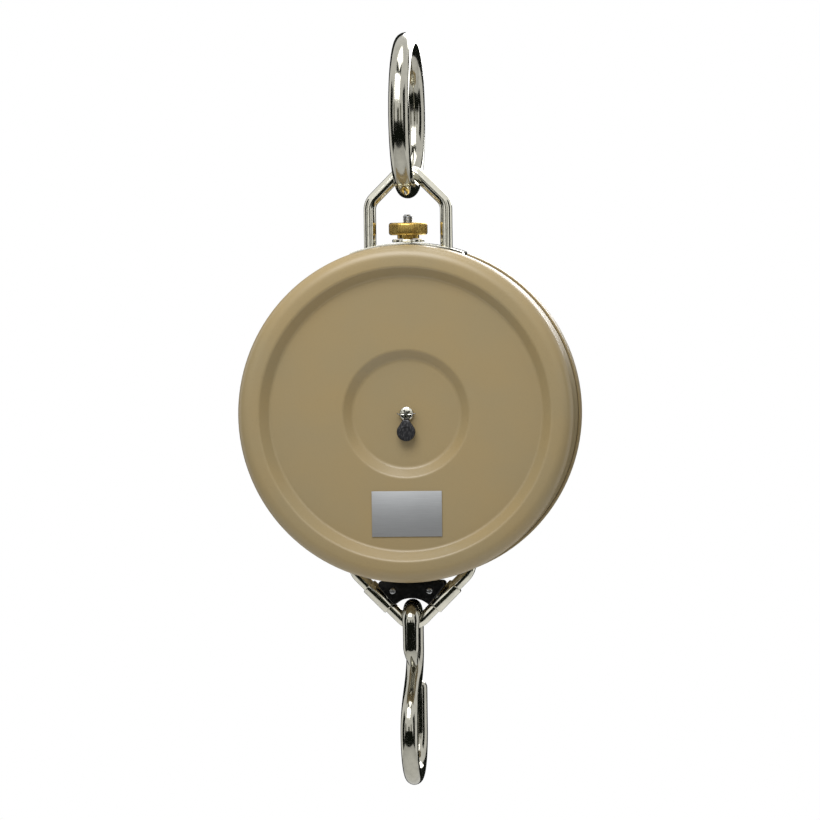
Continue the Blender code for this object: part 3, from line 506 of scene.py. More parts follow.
def carve(thing, cutter, operation="DIFFERENCE"):
    """Cuts the piece by, or joins it to, a second mesh, which is used up."""
    choose(thing)
    cut = thing.modifiers.new("cut", "BOOLEAN")
    cut.operation = operation
    cut.object = cutter
    bpy.ops.object.modifier_apply(modifier="cut")
    bpy.data.objects.remove(cutter)
    return thing


def drill(centre, radius, length, axis, sides=32):
    clear_selection()
    turn = {"x": (0, pi / 2, 0), "y": (pi / 2, 0, 0), "z": (0, 0, 0)}[axis]
    bpy.ops.mesh.primitive_cylinder_add(
        vertices=sides, radius=radius, depth=length, location=centre, rotation=turn)
    return bpy.context.object


def brick(centre, size, turn=(0, 0, 0)):
    clear_selection()
    bpy.ops.mesh.primitive_cube_add(size=1, location=centre, rotation=turn)
    bpy.context.object.scale = size
    return bpy.context.object


def arc(centre, radius, first, last, steps):
    angles = [first + (last - first) * i / steps for i in range(steps + 1)]
    return [(centre[0] + radius * cos(a), centre[1] + radius * sin(a)) for a in angles]


def joined(name, things):
    clear_selection()
    for thing in things:
        thing.select_set(True)
    bpy.context.view_layer.objects.active = things[0]
    bpy.ops.object.join()
    return settle(bpy.context.object, name)


def cross_screw(name, centre, radius, height, slot_depth, outward, turn=0.6):
    """A pan head seen from outside: domed, with a cross recess. outward is -1 to the rear."""
    dome = [(0, height)] + [(radius * sin(a), height * (0.45 + 0.55 * cos(a)))
                            for a in (pi / 12, pi / 6, pi / 4, pi / 3, 5 * pi / 12, pi / 2)]
    head = lathe(name, dome + [(radius, 0), (0, 0)], 40)
    for angle in (turn, turn + pi / 2):
        carve(head, brick((0, 0, height), (radius * 1.25, radius * 0.26, 2 * slot_depth), (0, 0, angle)))
    facing = TO_REAR if outward < 0 else TO_REAR.inverted()
    return settle(head, name, Matrix.Translation(centre) @ facing)




GAP = 0.3 * MM
BAIL_ROD = span("bail").y / 2
BAIL_SIDE = span("bail").x / 2 - BAIL_ROD


class SCALE_OT_ring(bpy.types.Operator):
    """Lifting ring: one welded rod"""

    bl_idname = "scale.ring"
    bl_label = "Lifting ring"

    def execute(self, context):
        size, centre = span("top_ring"), middle("top_ring")
        rod = size.x / 2
        radius = size.z / 2 - rod
        path = [centre + Vector((0, y, z)) for y, z in arc((0, 0), radius, 0, 2 * pi, 160)[:-1]]
        ring = bent_rod("lifting_ring", path, rod, closed=True, sides=14)
        # The ring takes the darkened chrome copy: painted shade.
        finish_piece(ring, "forged", "ring", "top_ring", smooth=80)
        return {"FINISHED"}


class SCALE_OT_bail(bpy.types.Operator):
    """Bail: the bent rod that joins the drum to the ring"""

    bl_idname = "scale.bail"
    bl_label = "Bail"

    def execute(self, context):
        low, high = box("bail")
        rod, side = BAIL_ROD, BAIL_SIDE
        bend = span("top_ring").x / 2 + rod + GAP
        peak = high.z - rod + bend * (1 / cos(pi / 4) - 1)
        shoulder = peak - side
        corners = [(-side, 0, low.z), (-side, 0, shoulder), (0, 0, peak), (side, 0, shoulder),
                   (side, 0, low.z)]
        path = bent_path(corners, (11 * MM, bend, 11 * MM))
        bail = bent_rod("bail_rod", path, rod)
        finish_piece(bail, "plating", "case", "bail", smooth=60)
        return {"FINISHED"}


class SCALE_OT_saddle(bpy.types.Operator):
    """Saddle plate with rolled edges, and the washer"""

    bl_idname = "scale.saddle"
    bl_label = "Saddle and seat"

    def execute(self, context):
        size = span("saddle_plate")
        outer = box("saddle_plate")[1].z - DRUM.z
        inner = DRUM_RADIUS + GAP
        reach = size.x / 2 / inner
        points = arc((0, DRUM.z), inner, pi / 2 - reach, pi / 2 + reach, 48)
        points += arc((0, DRUM.z), outer, pi / 2 + reach - 0.02, pi / 2 - reach + 0.02, 48)
        saddle = slab("saddle", points, -size.y / 2, size.y / 2)
        stud = span("zero_stud").x / 2 + GAP
        for x, radius in ((-BAIL_SIDE, BAIL_ROD + GAP), (0, stud), (BAIL_SIDE, BAIL_ROD + GAP)):
            carve(saddle, drill((x, 0, DRUM.z + outer), radius, 30 * MM, "z"))
        bevel(saddle, 0.5 * MM, 3, 50)
        finish_piece(saddle, "plating", "case", "saddle_plate", smooth=35)
        low, high = box("nut_seat")
        radius = span("nut_seat").x / 2
        outline = [(stud, 0), (radius, 0), (radius, high.z - low.z), (stud, high.z - low.z)]
        seat = lathe("seat_washer", fillet(outline, {1: 0.5 * MM, 2: 0.7 * MM}), 64)
        settle(seat, "seat_washer", Matrix.Translation((0, 0, low.z)))
        finish_piece(seat, "plating", "case", "nut_seat")
        return {"FINISHED"}


class SCALE_OT_zero_nut(bpy.types.Operator):
    """Zero nut with a straight knurl, and the threaded stud through it"""

    bl_idname = "scale.zero_nut"
    bl_label = "Zero nut and stud"

    def execute(self, context):
        low, high = box("zero_nut")
        radius = span("zero_nut").x / 2
        bore = span("zero_stud").x / 2 + GAP
        height = high.z - low.z
        boss, boss_height = 7.5 * MM, 2.6 * MM
        outline = [(bore, 0), (boss, 0), (boss, boss_height), (radius, boss_height), (radius, height),
                   (bore + 2 * MM, height), (bore, height - 1.2 * MM)]
        rounding = {1: 0.5 * MM, 3: 1.7 * MM, 4: 1.7 * MM}
        steps = max(sizes().knurl_count, 24) * 4
        nut = lathe("zero_thumb_nut", fillet(outline, rounding), steps)
        depth = 0.16 * MM
        for vertex in nut.data.vertices:
            x, y, z = vertex.co
            out = sqrt(x * x + y * y)
            if out > radius - 0.35 * MM:
                wave = 0.5 - 0.5 * cos(atan2(y, x) * sizes().knurl_count)
                vertex.co.x -= x / out * depth * wave
                vertex.co.y -= y / out * depth * wave
        settle(nut, "zero_thumb_nut", Matrix.Translation((0, 0, low.z)))
        finish_piece(nut, "brass", "zero_nut", "zero_nut", smooth=50)
        low, high = box("zero_stud")
        thread = span("zero_stud").x / 2
        pitch = sizes().thread_pitch
        core = thread - 0.55 * MM
        outline = [(0, high.z), (core - 0.5 * MM, high.z)]
        z = high.z - 0.7 * MM
        bottom = DRUM.z + DRUM_RADIUS - 8 * MM
        while z > bottom:
            outline += [(core, z), (thread, z - 0.45 * pitch), (thread, z - 0.55 * pitch)]
            z -= pitch
        outline += [(core, z), (core, low.z), (0, low.z)]
        stud = lathe("zero_adjusting_stud", outline, 40)
        finish_piece(stud, "steel", "zero_stud", "zero_stud", smooth=25)
        return {"FINISHED"}


class SCALE_OT_cover(bpy.types.Operator):
    """Pressed rear cover, drum wall and blank label"""

    bl_idname = "scale.cover"
    bl_label = "Rear cover"

    def execute(self, context):
        sheet = 1.2 * MM
        radius = COVER_RADIUS
        low, high = box("rear_cover")
        rim, lap = -low.y, -high.y
        panel = -box("label_plate")[1].y - GAP
        centre = panel - 5.5 * MM
        hole = 2.8 * MM
        recess, panel_edge = 100 * MM, 93.5 * MM
        step, dish = 43.5 * MM, 37 * MM
        shoulder = 9 * MM
        outside = [(radius, lap), (radius, rim - shoulder)]
        outside += arc((radius - shoulder, rim - shoulder), shoulder, 0, pi / 2, 14)[1:]
        outside += [(recess, rim), (panel_edge, panel), (step, panel), (dish, centre), (hole, centre)]
        count = len(outside)
        inside = [(hole, centre - sheet), (dish + sheet / 2, centre - sheet), (step + sheet / 2, panel - sheet),
                  (panel_edge + sheet, panel - sheet), (recess + sheet, rim - sheet)]
        inside += arc((radius - shoulder, rim - shoulder), shoulder - sheet, pi / 2, 0, 8)
        inside += [(radius - sheet, lap)]
        rounding = {count - 5: 3.0 * MM, count - 4: 3.2 * MM, count - 3: 3.4 * MM, count - 2: 4.5 * MM}
        cover = lathe("rear_cover_pressing", fillet(outside + inside, rounding, 7))
        settle(cover, "rear_cover_pressing", Matrix.Translation((0, 0, DRUM.z)) @ TO_REAR)
        finish_piece(cover, "paint", "case", "rear_cover", smooth=30)

        low, high = box("drum_shell")
        rear, front = -low.y, -high.y
        wall = [(DRUM_RADIUS, front), (DRUM_RADIUS, rear), (DRUM_RADIUS - 1.5 * MM, rear),
                (DRUM_RADIUS - 1.5 * MM, front)]
        drum = lathe("drum_wall", wall)
        settle(drum, "drum_wall", Matrix.Translation((0, 0, DRUM.z)) @ TO_REAR)
        for x, size in ((-BAIL_SIDE, BAIL_ROD + GAP), (0, 3.8 * MM), (BAIL_SIDE, BAIL_ROD + GAP)):
            carve(drum, drill((x, 0, DRUM.z + DRUM_RADIUS), size, 16 * MM, "z"))
        arm = span("link_arm_left").y
        base = DRUM.z - DRUM_RADIUS
        for side in (-1, 1):
            x = side * (box("link_arm_right")[1].x - arm / 2 - GAP)
            carve(drum, brick((x, 0, base + 7 * MM), (arm + 4 * MM, arm + 1.6 * MM, 24 * MM)))
            guard = middle("guard_rear").y * side
            carve(drum, brick((0, guard, base), (32.6 * MM, 3.1 * MM, 14 * MM)))
        finish_piece(drum, "paint", "case", "drum_shell", smooth=30)

        low, high = box("label_plate")
        label = slab("blank_label", [(low.x, low.z), (high.x, low.z), (high.x, high.z), (low.x, high.z)],
                     low.y, high.y)
        choose(label)
        corner = label.modifiers.new("corner", "BEVEL")
        corner.width, corner.segments = 0.12 * MM, 2
        bpy.ops.object.modifier_apply(modifier="corner")
        finish_piece(label, "label", "case", "label_plate")
        return {"FINISHED"}


class SCALE_OT_seal(bpy.types.Operator):
    """Seal screw, sealing wire and the pressed lead seal on it"""

    bl_idname = "scale.seal"
    bl_label = "Seal"

    def execute(self, context):
        low, high = box("seal_screw")
        radius = span("seal_screw").x / 2
        head = 2.8 * MM
        centre = middle("seal_screw")
        centre.y = low.y + head
        screw = cross_screw("seal_screw_head", centre, radius, head, 1.0 * MM, -1)
        shank = drill((centre.x, (centre.y + high.y) / 2 - 0.2 * MM, centre.z), 2.5 * MM,
                      high.y - centre.y + 0.4 * MM, "y")
        carve(screw, shank, "UNION")
        carve(screw, drill((0, middle("seal_wire").y, centre.z), 0.85 * MM, 20 * MM, "x", 16))
        finish_piece(screw, "plating", "case", "seal_screw", smooth=35)

        low, high = box("lead_seal")
        width, tall = high.x - low.x, high.z - low.z
        outline = arc((0, low.z + width / 2), width / 2, radians(155), radians(385), 40)
        outline += [(2.8 * MM, high.z - 1.2 * MM), (2.0 * MM, high.z), (-2.0 * MM, high.z),
                    (-2.8 * MM, high.z - 1.2 * MM)]
        seal = slab("pressed_lead_seal", outline, low.y, high.y)
        bevel(seal, 0.7 * MM, 4, 40)
        dish = lathe("dish", [(0, 1 * MM), (3.9 * MM, 1 * MM), (3.4 * MM, -0.45 * MM), (0, -0.45 * MM)], 48)
        settle(dish, "dish", Matrix.Translation((0, low.y, low.z + width / 2)) @ TO_REAR)
        carve(seal, dish)
        finish_piece(seal, "lead", "seal", "lead_seal", smooth=40)

        wire_low, wire_high = box("seal_wire")
        thick = 0.55 * MM
        side = wire_high.x - thick
        y0 = wire_high.y - thick
        y1 = middle("lead_seal").y
        foot = high.z + 0.6 * MM
        wires = []
        corners = [(-1.6 * MM, y1, foot), (-side, y1, DRUM.z + 0.6 * MM), (-side, y0, DRUM.z),
                   (side, y0, DRUM.z), (side, y1, DRUM.z + 0.6 * MM), (1.6 * MM, y1, foot)]
        path = bent_path(corners, (1.2 * MM,) * 4, 8)
        for shift, name in ((-0.5, "strand_a"), (0.5, "strand_b")):
            twist = []
            for i, point in enumerate(dense(path, 0.5 * MM)):
                angle = i * 0.55 + shift * 2 * pi
                twist.append(point + Vector((0.0, cos(angle), sin(angle))) * 0.24 * MM)
            wires.append(bent_rod(name, twist, 0.26 * MM, sides=2))
        wire = joined("twisted_seal_wire", wires)
        finish_piece(wire, "steel", "seal", "seal_wire", smooth=60)
        return {"FINISHED"}


def dense(path, step):
    """The path with points about a step apart."""
    made = [Vector(path[0])]
    for first, second in zip(path, path[1:]):
        first, second = Vector(first), Vector(second)
        count = max(1, round((second - first).length / step))
        made += [first.lerp(second, k / count) for k in range(1, count + 1)]
    return made


class SCALE_OT_window(bpy.types.Operator):
    """Bezel, gasket and glass of the dial side"""

    bl_idname = "scale.window"
    bl_label = "Bezel and glass"

    def execute(self, context):
        low, high = box("bezel")
        radius, opening = span("bezel").x / 2, 103.5 * MM
        inner, lip = DRUM_RADIUS + GAP, 1.5 * MM
        outline = [(radius, -low.y), (radius, -high.y), (opening, -high.y), (opening, lip - high.y),
                   (inner, lip - high.y), (inner, -low.y)]
        bezel = lathe("bezel_ring", fillet(outline, {0: 0.3 * MM, 1: 3.5 * MM, 2: 0.7 * MM, 3: 0.5 * MM}, 6))
        settle(bezel, "bezel_ring", Matrix.Translation((0, 0, DRUM.z)) @ TO_REAR)
        finish_piece(bezel, "paint", "case", "bezel", smooth=30)
        low, high = box("glass_gasket")
        radius = span("glass_gasket").x / 2
        outline = [(radius, -low.y), (radius, -high.y), (radius - 5 * MM, -high.y), (radius - 5 * MM, -low.y)]
        gasket = lathe("window_gasket", fillet(outline, {n: 0.5 * MM for n in range(4)}, 3))
        settle(gasket, "window_gasket", Matrix.Translation((0, 0, DRUM.z)) @ TO_REAR)
        finish_piece(gasket, "rubber", "case", "glass_gasket")
        low, high = box("dial_glass")
        radius = span("dial_glass").x / 2
        outline = [(0, -low.y), (radius, -low.y), (radius, -high.y), (0, -high.y)]
        glass = lathe("window_pane", fillet(outline, {1: 0.3 * MM, 2: 0.3 * MM}, 2))
        settle(glass, "window_pane", Matrix.Translation((0, 0, DRUM.z)) @ TO_REAR)
        finish_piece(glass, "glass", "case", "dial_glass", smooth=30)
        return {"FINISHED"}


def dial_point(turn, radius):
    """A place on the dial for a pointer turn from the top, clockwise as read."""
    return Vector((-sin(turn) * radius, 0, DRUM.z + cos(turn) * radius))


def dial_text(name, words, where, height, face):
    clear_selection()
    bpy.ops.object.text_add(location=(where.x, face, where.z), rotation=(pi / 2, 0, pi))
    text = bpy.context.object
    text.data.body = words
    text.data.size = height
    text.data.align_x, text.data.align_y = "CENTER", "CENTER"
    text.data.extrude = 0.02 * MM
    text.data.resolution_u = 3
    bpy.ops.object.convert(target="MESH")
    return settle(text, name)


class SCALE_OT_dial(bpy.types.Operator):
    """Dial plate with printed ticks, numbers and unit"""

    bl_idname = "scale.dial"
    bl_label = "Dial"

    def execute(self, context):
        low, high = box("dial_plate")
        radius, face = span("dial_plate").x / 2, high.y
        outline = [(5 * MM, -high.y), (5 * MM, -low.y), (radius, -low.y), (radius, -high.y)]
        dial = lathe("dial_face", fillet(outline, {3: 0.3 * MM}, 3))
        settle(dial, "dial_face", Matrix.Translation((0, 0, DRUM.z)) @ TO_REAR)
        for node in ("upper_dial_screw", "lower_dial_screw"):
            spot = middle(node)
            carve(dial, drill((spot.x, face, spot.z), 1.8 * MM, 6 * MM, "y"))
        finish_piece(dial, "dial", "case", "dial_plate", smooth=30)
        divisions = sizes().dial_divisions
        ink = []
        for count in range(divisions + 1):
            turn = FULL_TURN * count / divisions
            step = 10 if count % 10 == 0 else 5 if count % 5 == 0 else 1
            length, width = {10: (11 * MM, 1.1 * MM), 5: (8 * MM, 0.8 * MM), 1: (5 * MM, 0.45 * MM)}[step]
            spot = dial_point(turn, 100 * MM - length / 2)
            ink.append(brick((spot.x, face + 0.02 * MM, spot.z), (width, 0.04 * MM, length), (0, -turn, 0)))
            if step == 10 and count < divisions:
                words = str(count)
                ink.append(dial_text("number", words, dial_point(turn, 78 * MM), 13 * MM, face))
        ink.append(dial_text("unit", "kg", dial_point(0, 36 * MM), 15 * MM, face))
        print_ = joined("dial_print", ink)
        finish_piece(print_, "ink", "case", smooth=0)
        for node in ("upper_dial_screw", "lower_dial_screw"):
            low, high = box(node)
            head = 1.8 * MM
            spot = Vector((middle(node).x, high.y - head, middle(node).z))
            screw = cross_screw(node + "_head", spot, span(node).x / 2, head, 0.7 * MM, 1)
            shank = drill((spot.x, (low.y + spot.y) / 2 + 0.1 * MM, spot.z), 1.4 * MM,
                          spot.y - low.y, "y", 16)
            carve(screw, shank, "UNION")
            finish_piece(screw, "steel", "case", node)
        return {"FINISHED"}


class SCALE_OT_pointer(bpy.types.Operator):
    """Pointer: hub, blade with chamfered edges, and cap"""

    bl_idname = "scale.pointer"
    bl_label = "Pointer"

    def execute(self, context):
        low, high = box("pointer_hub")
        flange, boss, bore = span("pointer_hub").x / 2, 3.6 * MM, span("arbor").x / 2 + 0.05 * MM
        top = -box("pointer_blade")[0].y + GAP
        outline = [(bore, -low.y), (flange, -low.y), (flange, top), (boss, top), (boss, -high.y),
                   (bore, -high.y)]
        hub = lathe("pointer_boss", fillet(outline, {1: 0.3 * MM, 2: 0.4 * MM}), 64)
        settle(hub, "pointer_boss", Matrix.Translation((0, 0, DRUM.z)) @ TO_REAR)
        finish_piece(hub, "brass", "pointer", "pointer_hub")
        low, high = box("pointer_blade")
        tip, tail = high.z - DRUM.z, DRUM.z - low.z
        bulge = arc((0, DRUM.z), 9 * MM, radians(105), radians(255), 24)
        half = [(1.2 * MM, DRUM.z + tip - 6 * MM), (0, DRUM.z + tip), (-1.2 * MM, DRUM.z + tip - 6 * MM)]
        outline = half + bulge + [(-4.5 * MM, DRUM.z - tail), (4.5 * MM, DRUM.z - tail)]
        outline += [(-x, z) for x, z in reversed(bulge)]
        blade = slab("pointer_hand", outline, low.y, high.y)
        carve(blade, drill((0, (low.y + high.y) / 2, DRUM.z), boss + GAP, 4 * MM, "y", 48))
        bevel(blade, 0.2 * MM, 2, 50)
        finish_piece(blade, "ink", "pointer", "pointer_blade", smooth=35)
        low, high = box("pointer_cap")
        radius, height = span("pointer_cap").x / 2, high.y - low.y
        dome = [(0, 0), (radius, 0)] + [(radius * cos(a), height * (0.3 + 0.7 * sin(a)))
                                        for a in (0, 0.3, 0.6, 0.9, 1.2, 1.4)] + [(0, height)]
        cap = lathe("pointer_dome", dome, 48)
        settle(cap, "pointer_dome", Matrix.Translation((0, low.y, DRUM.z)) @ TO_REAR.inverted())
        finish_piece(cap, "brass", "pointer", "pointer_cap")
        return {"FINISHED"}


class SCALE_OT_guard(bpy.types.Operator):
    """Black guard plates below the drum, with their screws"""

    bl_idname = "scale.guard"
    bl_label = "Guard plates"

    def execute(self, context):
        top = DRUM.z - DRUM_RADIUS - 1 * MM
        for node in ("guard_rear", "guard_front"):
            low, high = box(node)
            shoulder, tip, tab, lip = (high.x - low.x) / 2, 12 * MM, 16 * MM, 2.5 * MM
            rise = sqrt((18 * MM) ** 2 - tip ** 2)
            edge = atan2(rise, tip)
            scoop = arc((0, low.z - rise), 18 * MM, edge, pi - edge, 30)
            side = fillet([(tab, top), (shoulder, top), (tip, low.z)], {1: lip}, 6)[1:-1]
            outline = scoop + [(-x, z) for x, z in reversed(side)]
            outline += [(-tab, top), (-tab, high.z), (tab, high.z), (tab, top)] + side
            plate = slab(node + "_pressing", outline, low.y, high.y)
            bevel(plate, 0.45 * MM, 3, 30)
            for name in ("guard_screw_left", "guard_screw_right"):
                spot = middle(name)
                carve(plate, drill((spot.x, middle(node).y, spot.z), 1.7 * MM, 9 * MM, "y"))
            for name in ("lower_frame_bolt_left", "lower_frame_bolt_right"):
                spot = middle(name)
                carve(plate, drill((spot.x, middle(node).y, spot.z), 2.8 * MM, 9 * MM, "y"))
            finish_piece(plate, "enamel", "case", node, smooth=35)
        for node in ("guard_screw_left", "guard_screw_right"):
            low, high = box(node)
            head = 1.4 * MM
            spot = Vector((middle(node).x, low.y + head, middle(node).z))
            screw = cross_screw(node + "_head", spot, span(node).x / 2, head, 0.6 * MM, -1, 0.3)
            shank = drill((spot.x, (high.y + spot.y) / 2 - 0.1 * MM, spot.z), 1.4 * MM, high.y - spot.y, "y", 16)
            carve(screw, shank, "UNION")
            finish_piece(screw, "steel", "case", node)
        return {"FINISHED"}


class SCALE_OT_link(bpy.types.Operator):
    """Lower link: two arms, the V and the ferrules that join them"""

    bl_idname = "scale.link"
    bl_label = "Lower link"

    def execute(self, context):
        rod = span("link_arm_left").y / 2
        out = box("link_arm_right")[1].x - rod
        hook_rod = span("hook").x / 2
        bend = hook_rod + rod + GAP
        pivot = JOINTS["hook_swing"]["pos_m"][2]
        point = pivot - bend * (1 / cos(pi / 4) - 1)
        for node, sign in (("link_arm_left", -1), ("link_arm_right", 1)):
            sleeve = middle("link_sleeve_right" if sign > 0 else "link_sleeve_left")
            low, high = box(node)
            corners = [(sign * out, 0, high.z), (sign * out, 0, point + out),
                       (sleeve.x + sign * GAP / 2, 0, point + abs(sleeve.x) + GAP / 2)]
            arm = bent_rod(node + "_rod", bent_path(corners, (14 * MM,)), rod)
            finish_piece(arm, "plating", "carriage", node, smooth=60)
            length, outside = 21 * MM, 5.5 * MM
            profile = [(rod + GAP / 2, -length / 2), (outside, -length / 2), (outside, length / 2),
                       (rod + GAP / 2, length / 2)]
            ferrule = lathe("ferrule", fillet(profile, {1: 0.9 * MM, 2: 0.9 * MM}, 5), 48)
            name = node.replace("arm", "sleeve")
            settle(ferrule, name + "_ferrule", Matrix.Translation(sleeve) @ Matrix.Rotation(sign * pi / 4, 4, "Y"))
            finish_piece(ferrule, "plating", "carriage", name)
        x = abs(middle("link_sleeve_right").x) - GAP / 2
        corners = [(-x, 0, point + x), (0, 0, point), (x, 0, point + x)]
        vee = bent_rod("link_vee_rod", bent_path(corners, (bend,)), rod)
        finish_piece(vee, "plating", "carriage", "link_vee", smooth=60)
        return {"FINISHED"}


def bezier(start, start_pull, end_pull, end, steps):
    """Points on a cubic curve, without its first one."""
    made = []
    for k in range(1, steps + 1):
        t = k / steps
        weights = ((1 - t) ** 3, 3 * (1 - t) ** 2 * t, 3 * (1 - t) * t * t, t ** 3)
        spots = (start, start_pull, end_pull, end)
        made.append(tuple(sum(w * p[i] for w, p in zip(weights, spots)) for i in range(2)))
    return made


class SCALE_OT_hook(bpy.types.Operator):
    """Load hook: one S forging, closed at its eye and open at its bowl"""

    bl_idname = "scale.hook"
    bl_label = "Load hook"

    def execute(self, context):
        radius = span("hook").x / 2
        pivot = JOINTS["hook_swing"]["pos_m"][2]
        eye, crown = 12.2 * MM, -1.65 * MM
        leg, bowl, bowl_centre = crown - 15 * MM, 30 * MM, -74.9 * MM
        end = (-1.8 * MM, leg - 10.6 * MM)
        slim = 0.58
        path = [end] + bezier(end, (end[0] - 5 * MM, end[1] + 4 * MM), (-eye, leg - 5 * MM), (-eye, leg), 16)
        taper = [slim + (1 - slim) * min(1.0, i / 20) for i in range(len(path))]
        path += arc((0, crown), eye, pi, 0, 40)
        path += bezier((eye, crown), (eye, crown - 6 * MM), (eye, leg + 6 * MM), (eye, leg), 6)
        pull = 27 * MM
        path += bezier((eye, leg), (eye, leg - pull), (-bowl, bowl_centre + pull), (-bowl, bowl_centre), 36)
        path += arc((0, bowl_centre), bowl, pi, 2 * pi, 56)[1:]
        reach = bowl_centre + 34.5 * MM
        path += [(bowl, bowl_centre + 34.5 * MM / 2)]
        scales = taper + [min(1.0, slim + (1 - slim) * (17 + i) / 20) for i in range(len(path) - len(taper))]
        for share in (0.0, 0.2, 0.38, 0.55, 0.7, 0.82, 0.91, 0.97):
            path.append((bowl, reach - radius * (1 - share)))
            scales.append(sqrt(1 - share * share))
        for ahead, size in ((0.6, 0.9), (1.0, 0.62)):
            path.insert(0, (end[0] + 0.9 * MM * ahead, end[1] - 0.8 * MM * ahead))
            scales.insert(0, slim * size)
        points = [Vector((0, y, pivot + z)) for y, z in path]
        hook = bent_rod("forged_hook", points, radius, scales, sides=14)
        # The hook takes the darkened chrome copy: painted shade.
        finish_piece(hook, "forged", "hook", "hook", smooth=80)
        return {"FINISHED"}


class SCALE_OT_springs(bpy.types.Operator):
    """Two fine coils between the case and the carriage"""

    bl_idname = "scale.springs"
    bl_label = "Load springs"

    def execute(self, context):
        for node in ("spring_left", "spring_right"):
            low, high = box(node)
            wire, turns, steps = 1.5 * MM, 10, 28
            radius = (high.x - low.x) / 2 - wire
            axis = middle(node)
            bottom, top = low.z + wire, high.z - wire
            path = [axis + Vector((radius * cos(2 * pi * k / steps), radius * sin(2 * pi * k / steps),
                                   bottom + (top - bottom) * k / (turns * steps) - axis.z))
                    for k in range(turns * steps + 1)]
            coil = bent_rod(node + "_coil", path, wire, sides=4)
            finish_piece(coil, "spring", "case", node, smooth=60)
            coil.parent = None
            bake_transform(coil)
        return {"FINISHED"}


SLOT_FINISH = {"chrome": "plating", "beige_paint": "paint", "black_paint": "enamel", "brass": "brass",
               "dial_paint": "dial", "glass": "glass", "rubber": "rubber", "label_aluminium": "label",
               "lead": "lead", "steel": "steel"}


class SCALE_OT_works(bpy.types.Operator):
    """Frame, movement and fastenings inside the case: carried over, with their finishes"""

    bl_idname = "scale.works"
    bl_label = "Works"

    def execute(self, context):
        for name, thing in frame["nodes"].items():
            slots = [m.name.split(".")[0] for m in thing.data.materials if m]
            key = next((SLOT_FINISH[s] for s in slots if s in SLOT_FINISH), "steel")
            if name in BRASS_NODES:
                key = "brass"
            thing.data.materials.clear()
            thing.data.materials.append(FINISH[key])
        return {"FINISHED"}


BRASS_NODES = ("arbor_bush_front", "arbor_bush_rear", "upper_dial_post", "lower_dial_post", "pinion")


def soft_lamp(name, where, size, power, look):
    bpy.ops.object.light_add(type="AREA", location=where)
    lamp = bpy.context.object
    lamp.name = name
    lamp.data.shape = "RECTANGLE"
    lamp.data.size, lamp.data.size_y = size
    lamp.data.energy = power
    lamp.rotation_euler = (Vector(look) - Vector(where)).to_track_quat("-Z", "Y").to_euler()
    return lamp


def glow_material(name, colour):
    shade = Shade(name)
    shade.tree.nodes.remove(shade.shader)
    glow = shade.node("ShaderNodeEmission", inputs={"Color": (*colour, 1.0), "Strength": 1.0})
    out = next(n for n in shade.tree.nodes if n.type == "OUTPUT_MATERIAL")
    shade.tree.links.new(glow.socket, out.inputs["Surface"])
    return shade.material


def card(name, where, size, look, colour):
    """A studio card that only mirrors see."""
    bpy.ops.mesh.primitive_plane_add(size=1, location=where)
    thing = bpy.context.object
    thing.name = name
    thing.rotation_euler = (Vector(look) - Vector(where)).to_track_quat("Z", "Y").to_euler()
    thing.scale = (*size, 1)
    bpy.ops.object.transform_apply(location=True, rotation=True, scale=True)
    thing.data.materials.append(glow_material(name, colour))
    for ray in ("camera", "diffuse", "transmission", "shadow", "volume_scatter"):
        setattr(thing, "visible_" + ray, False)
    return thing


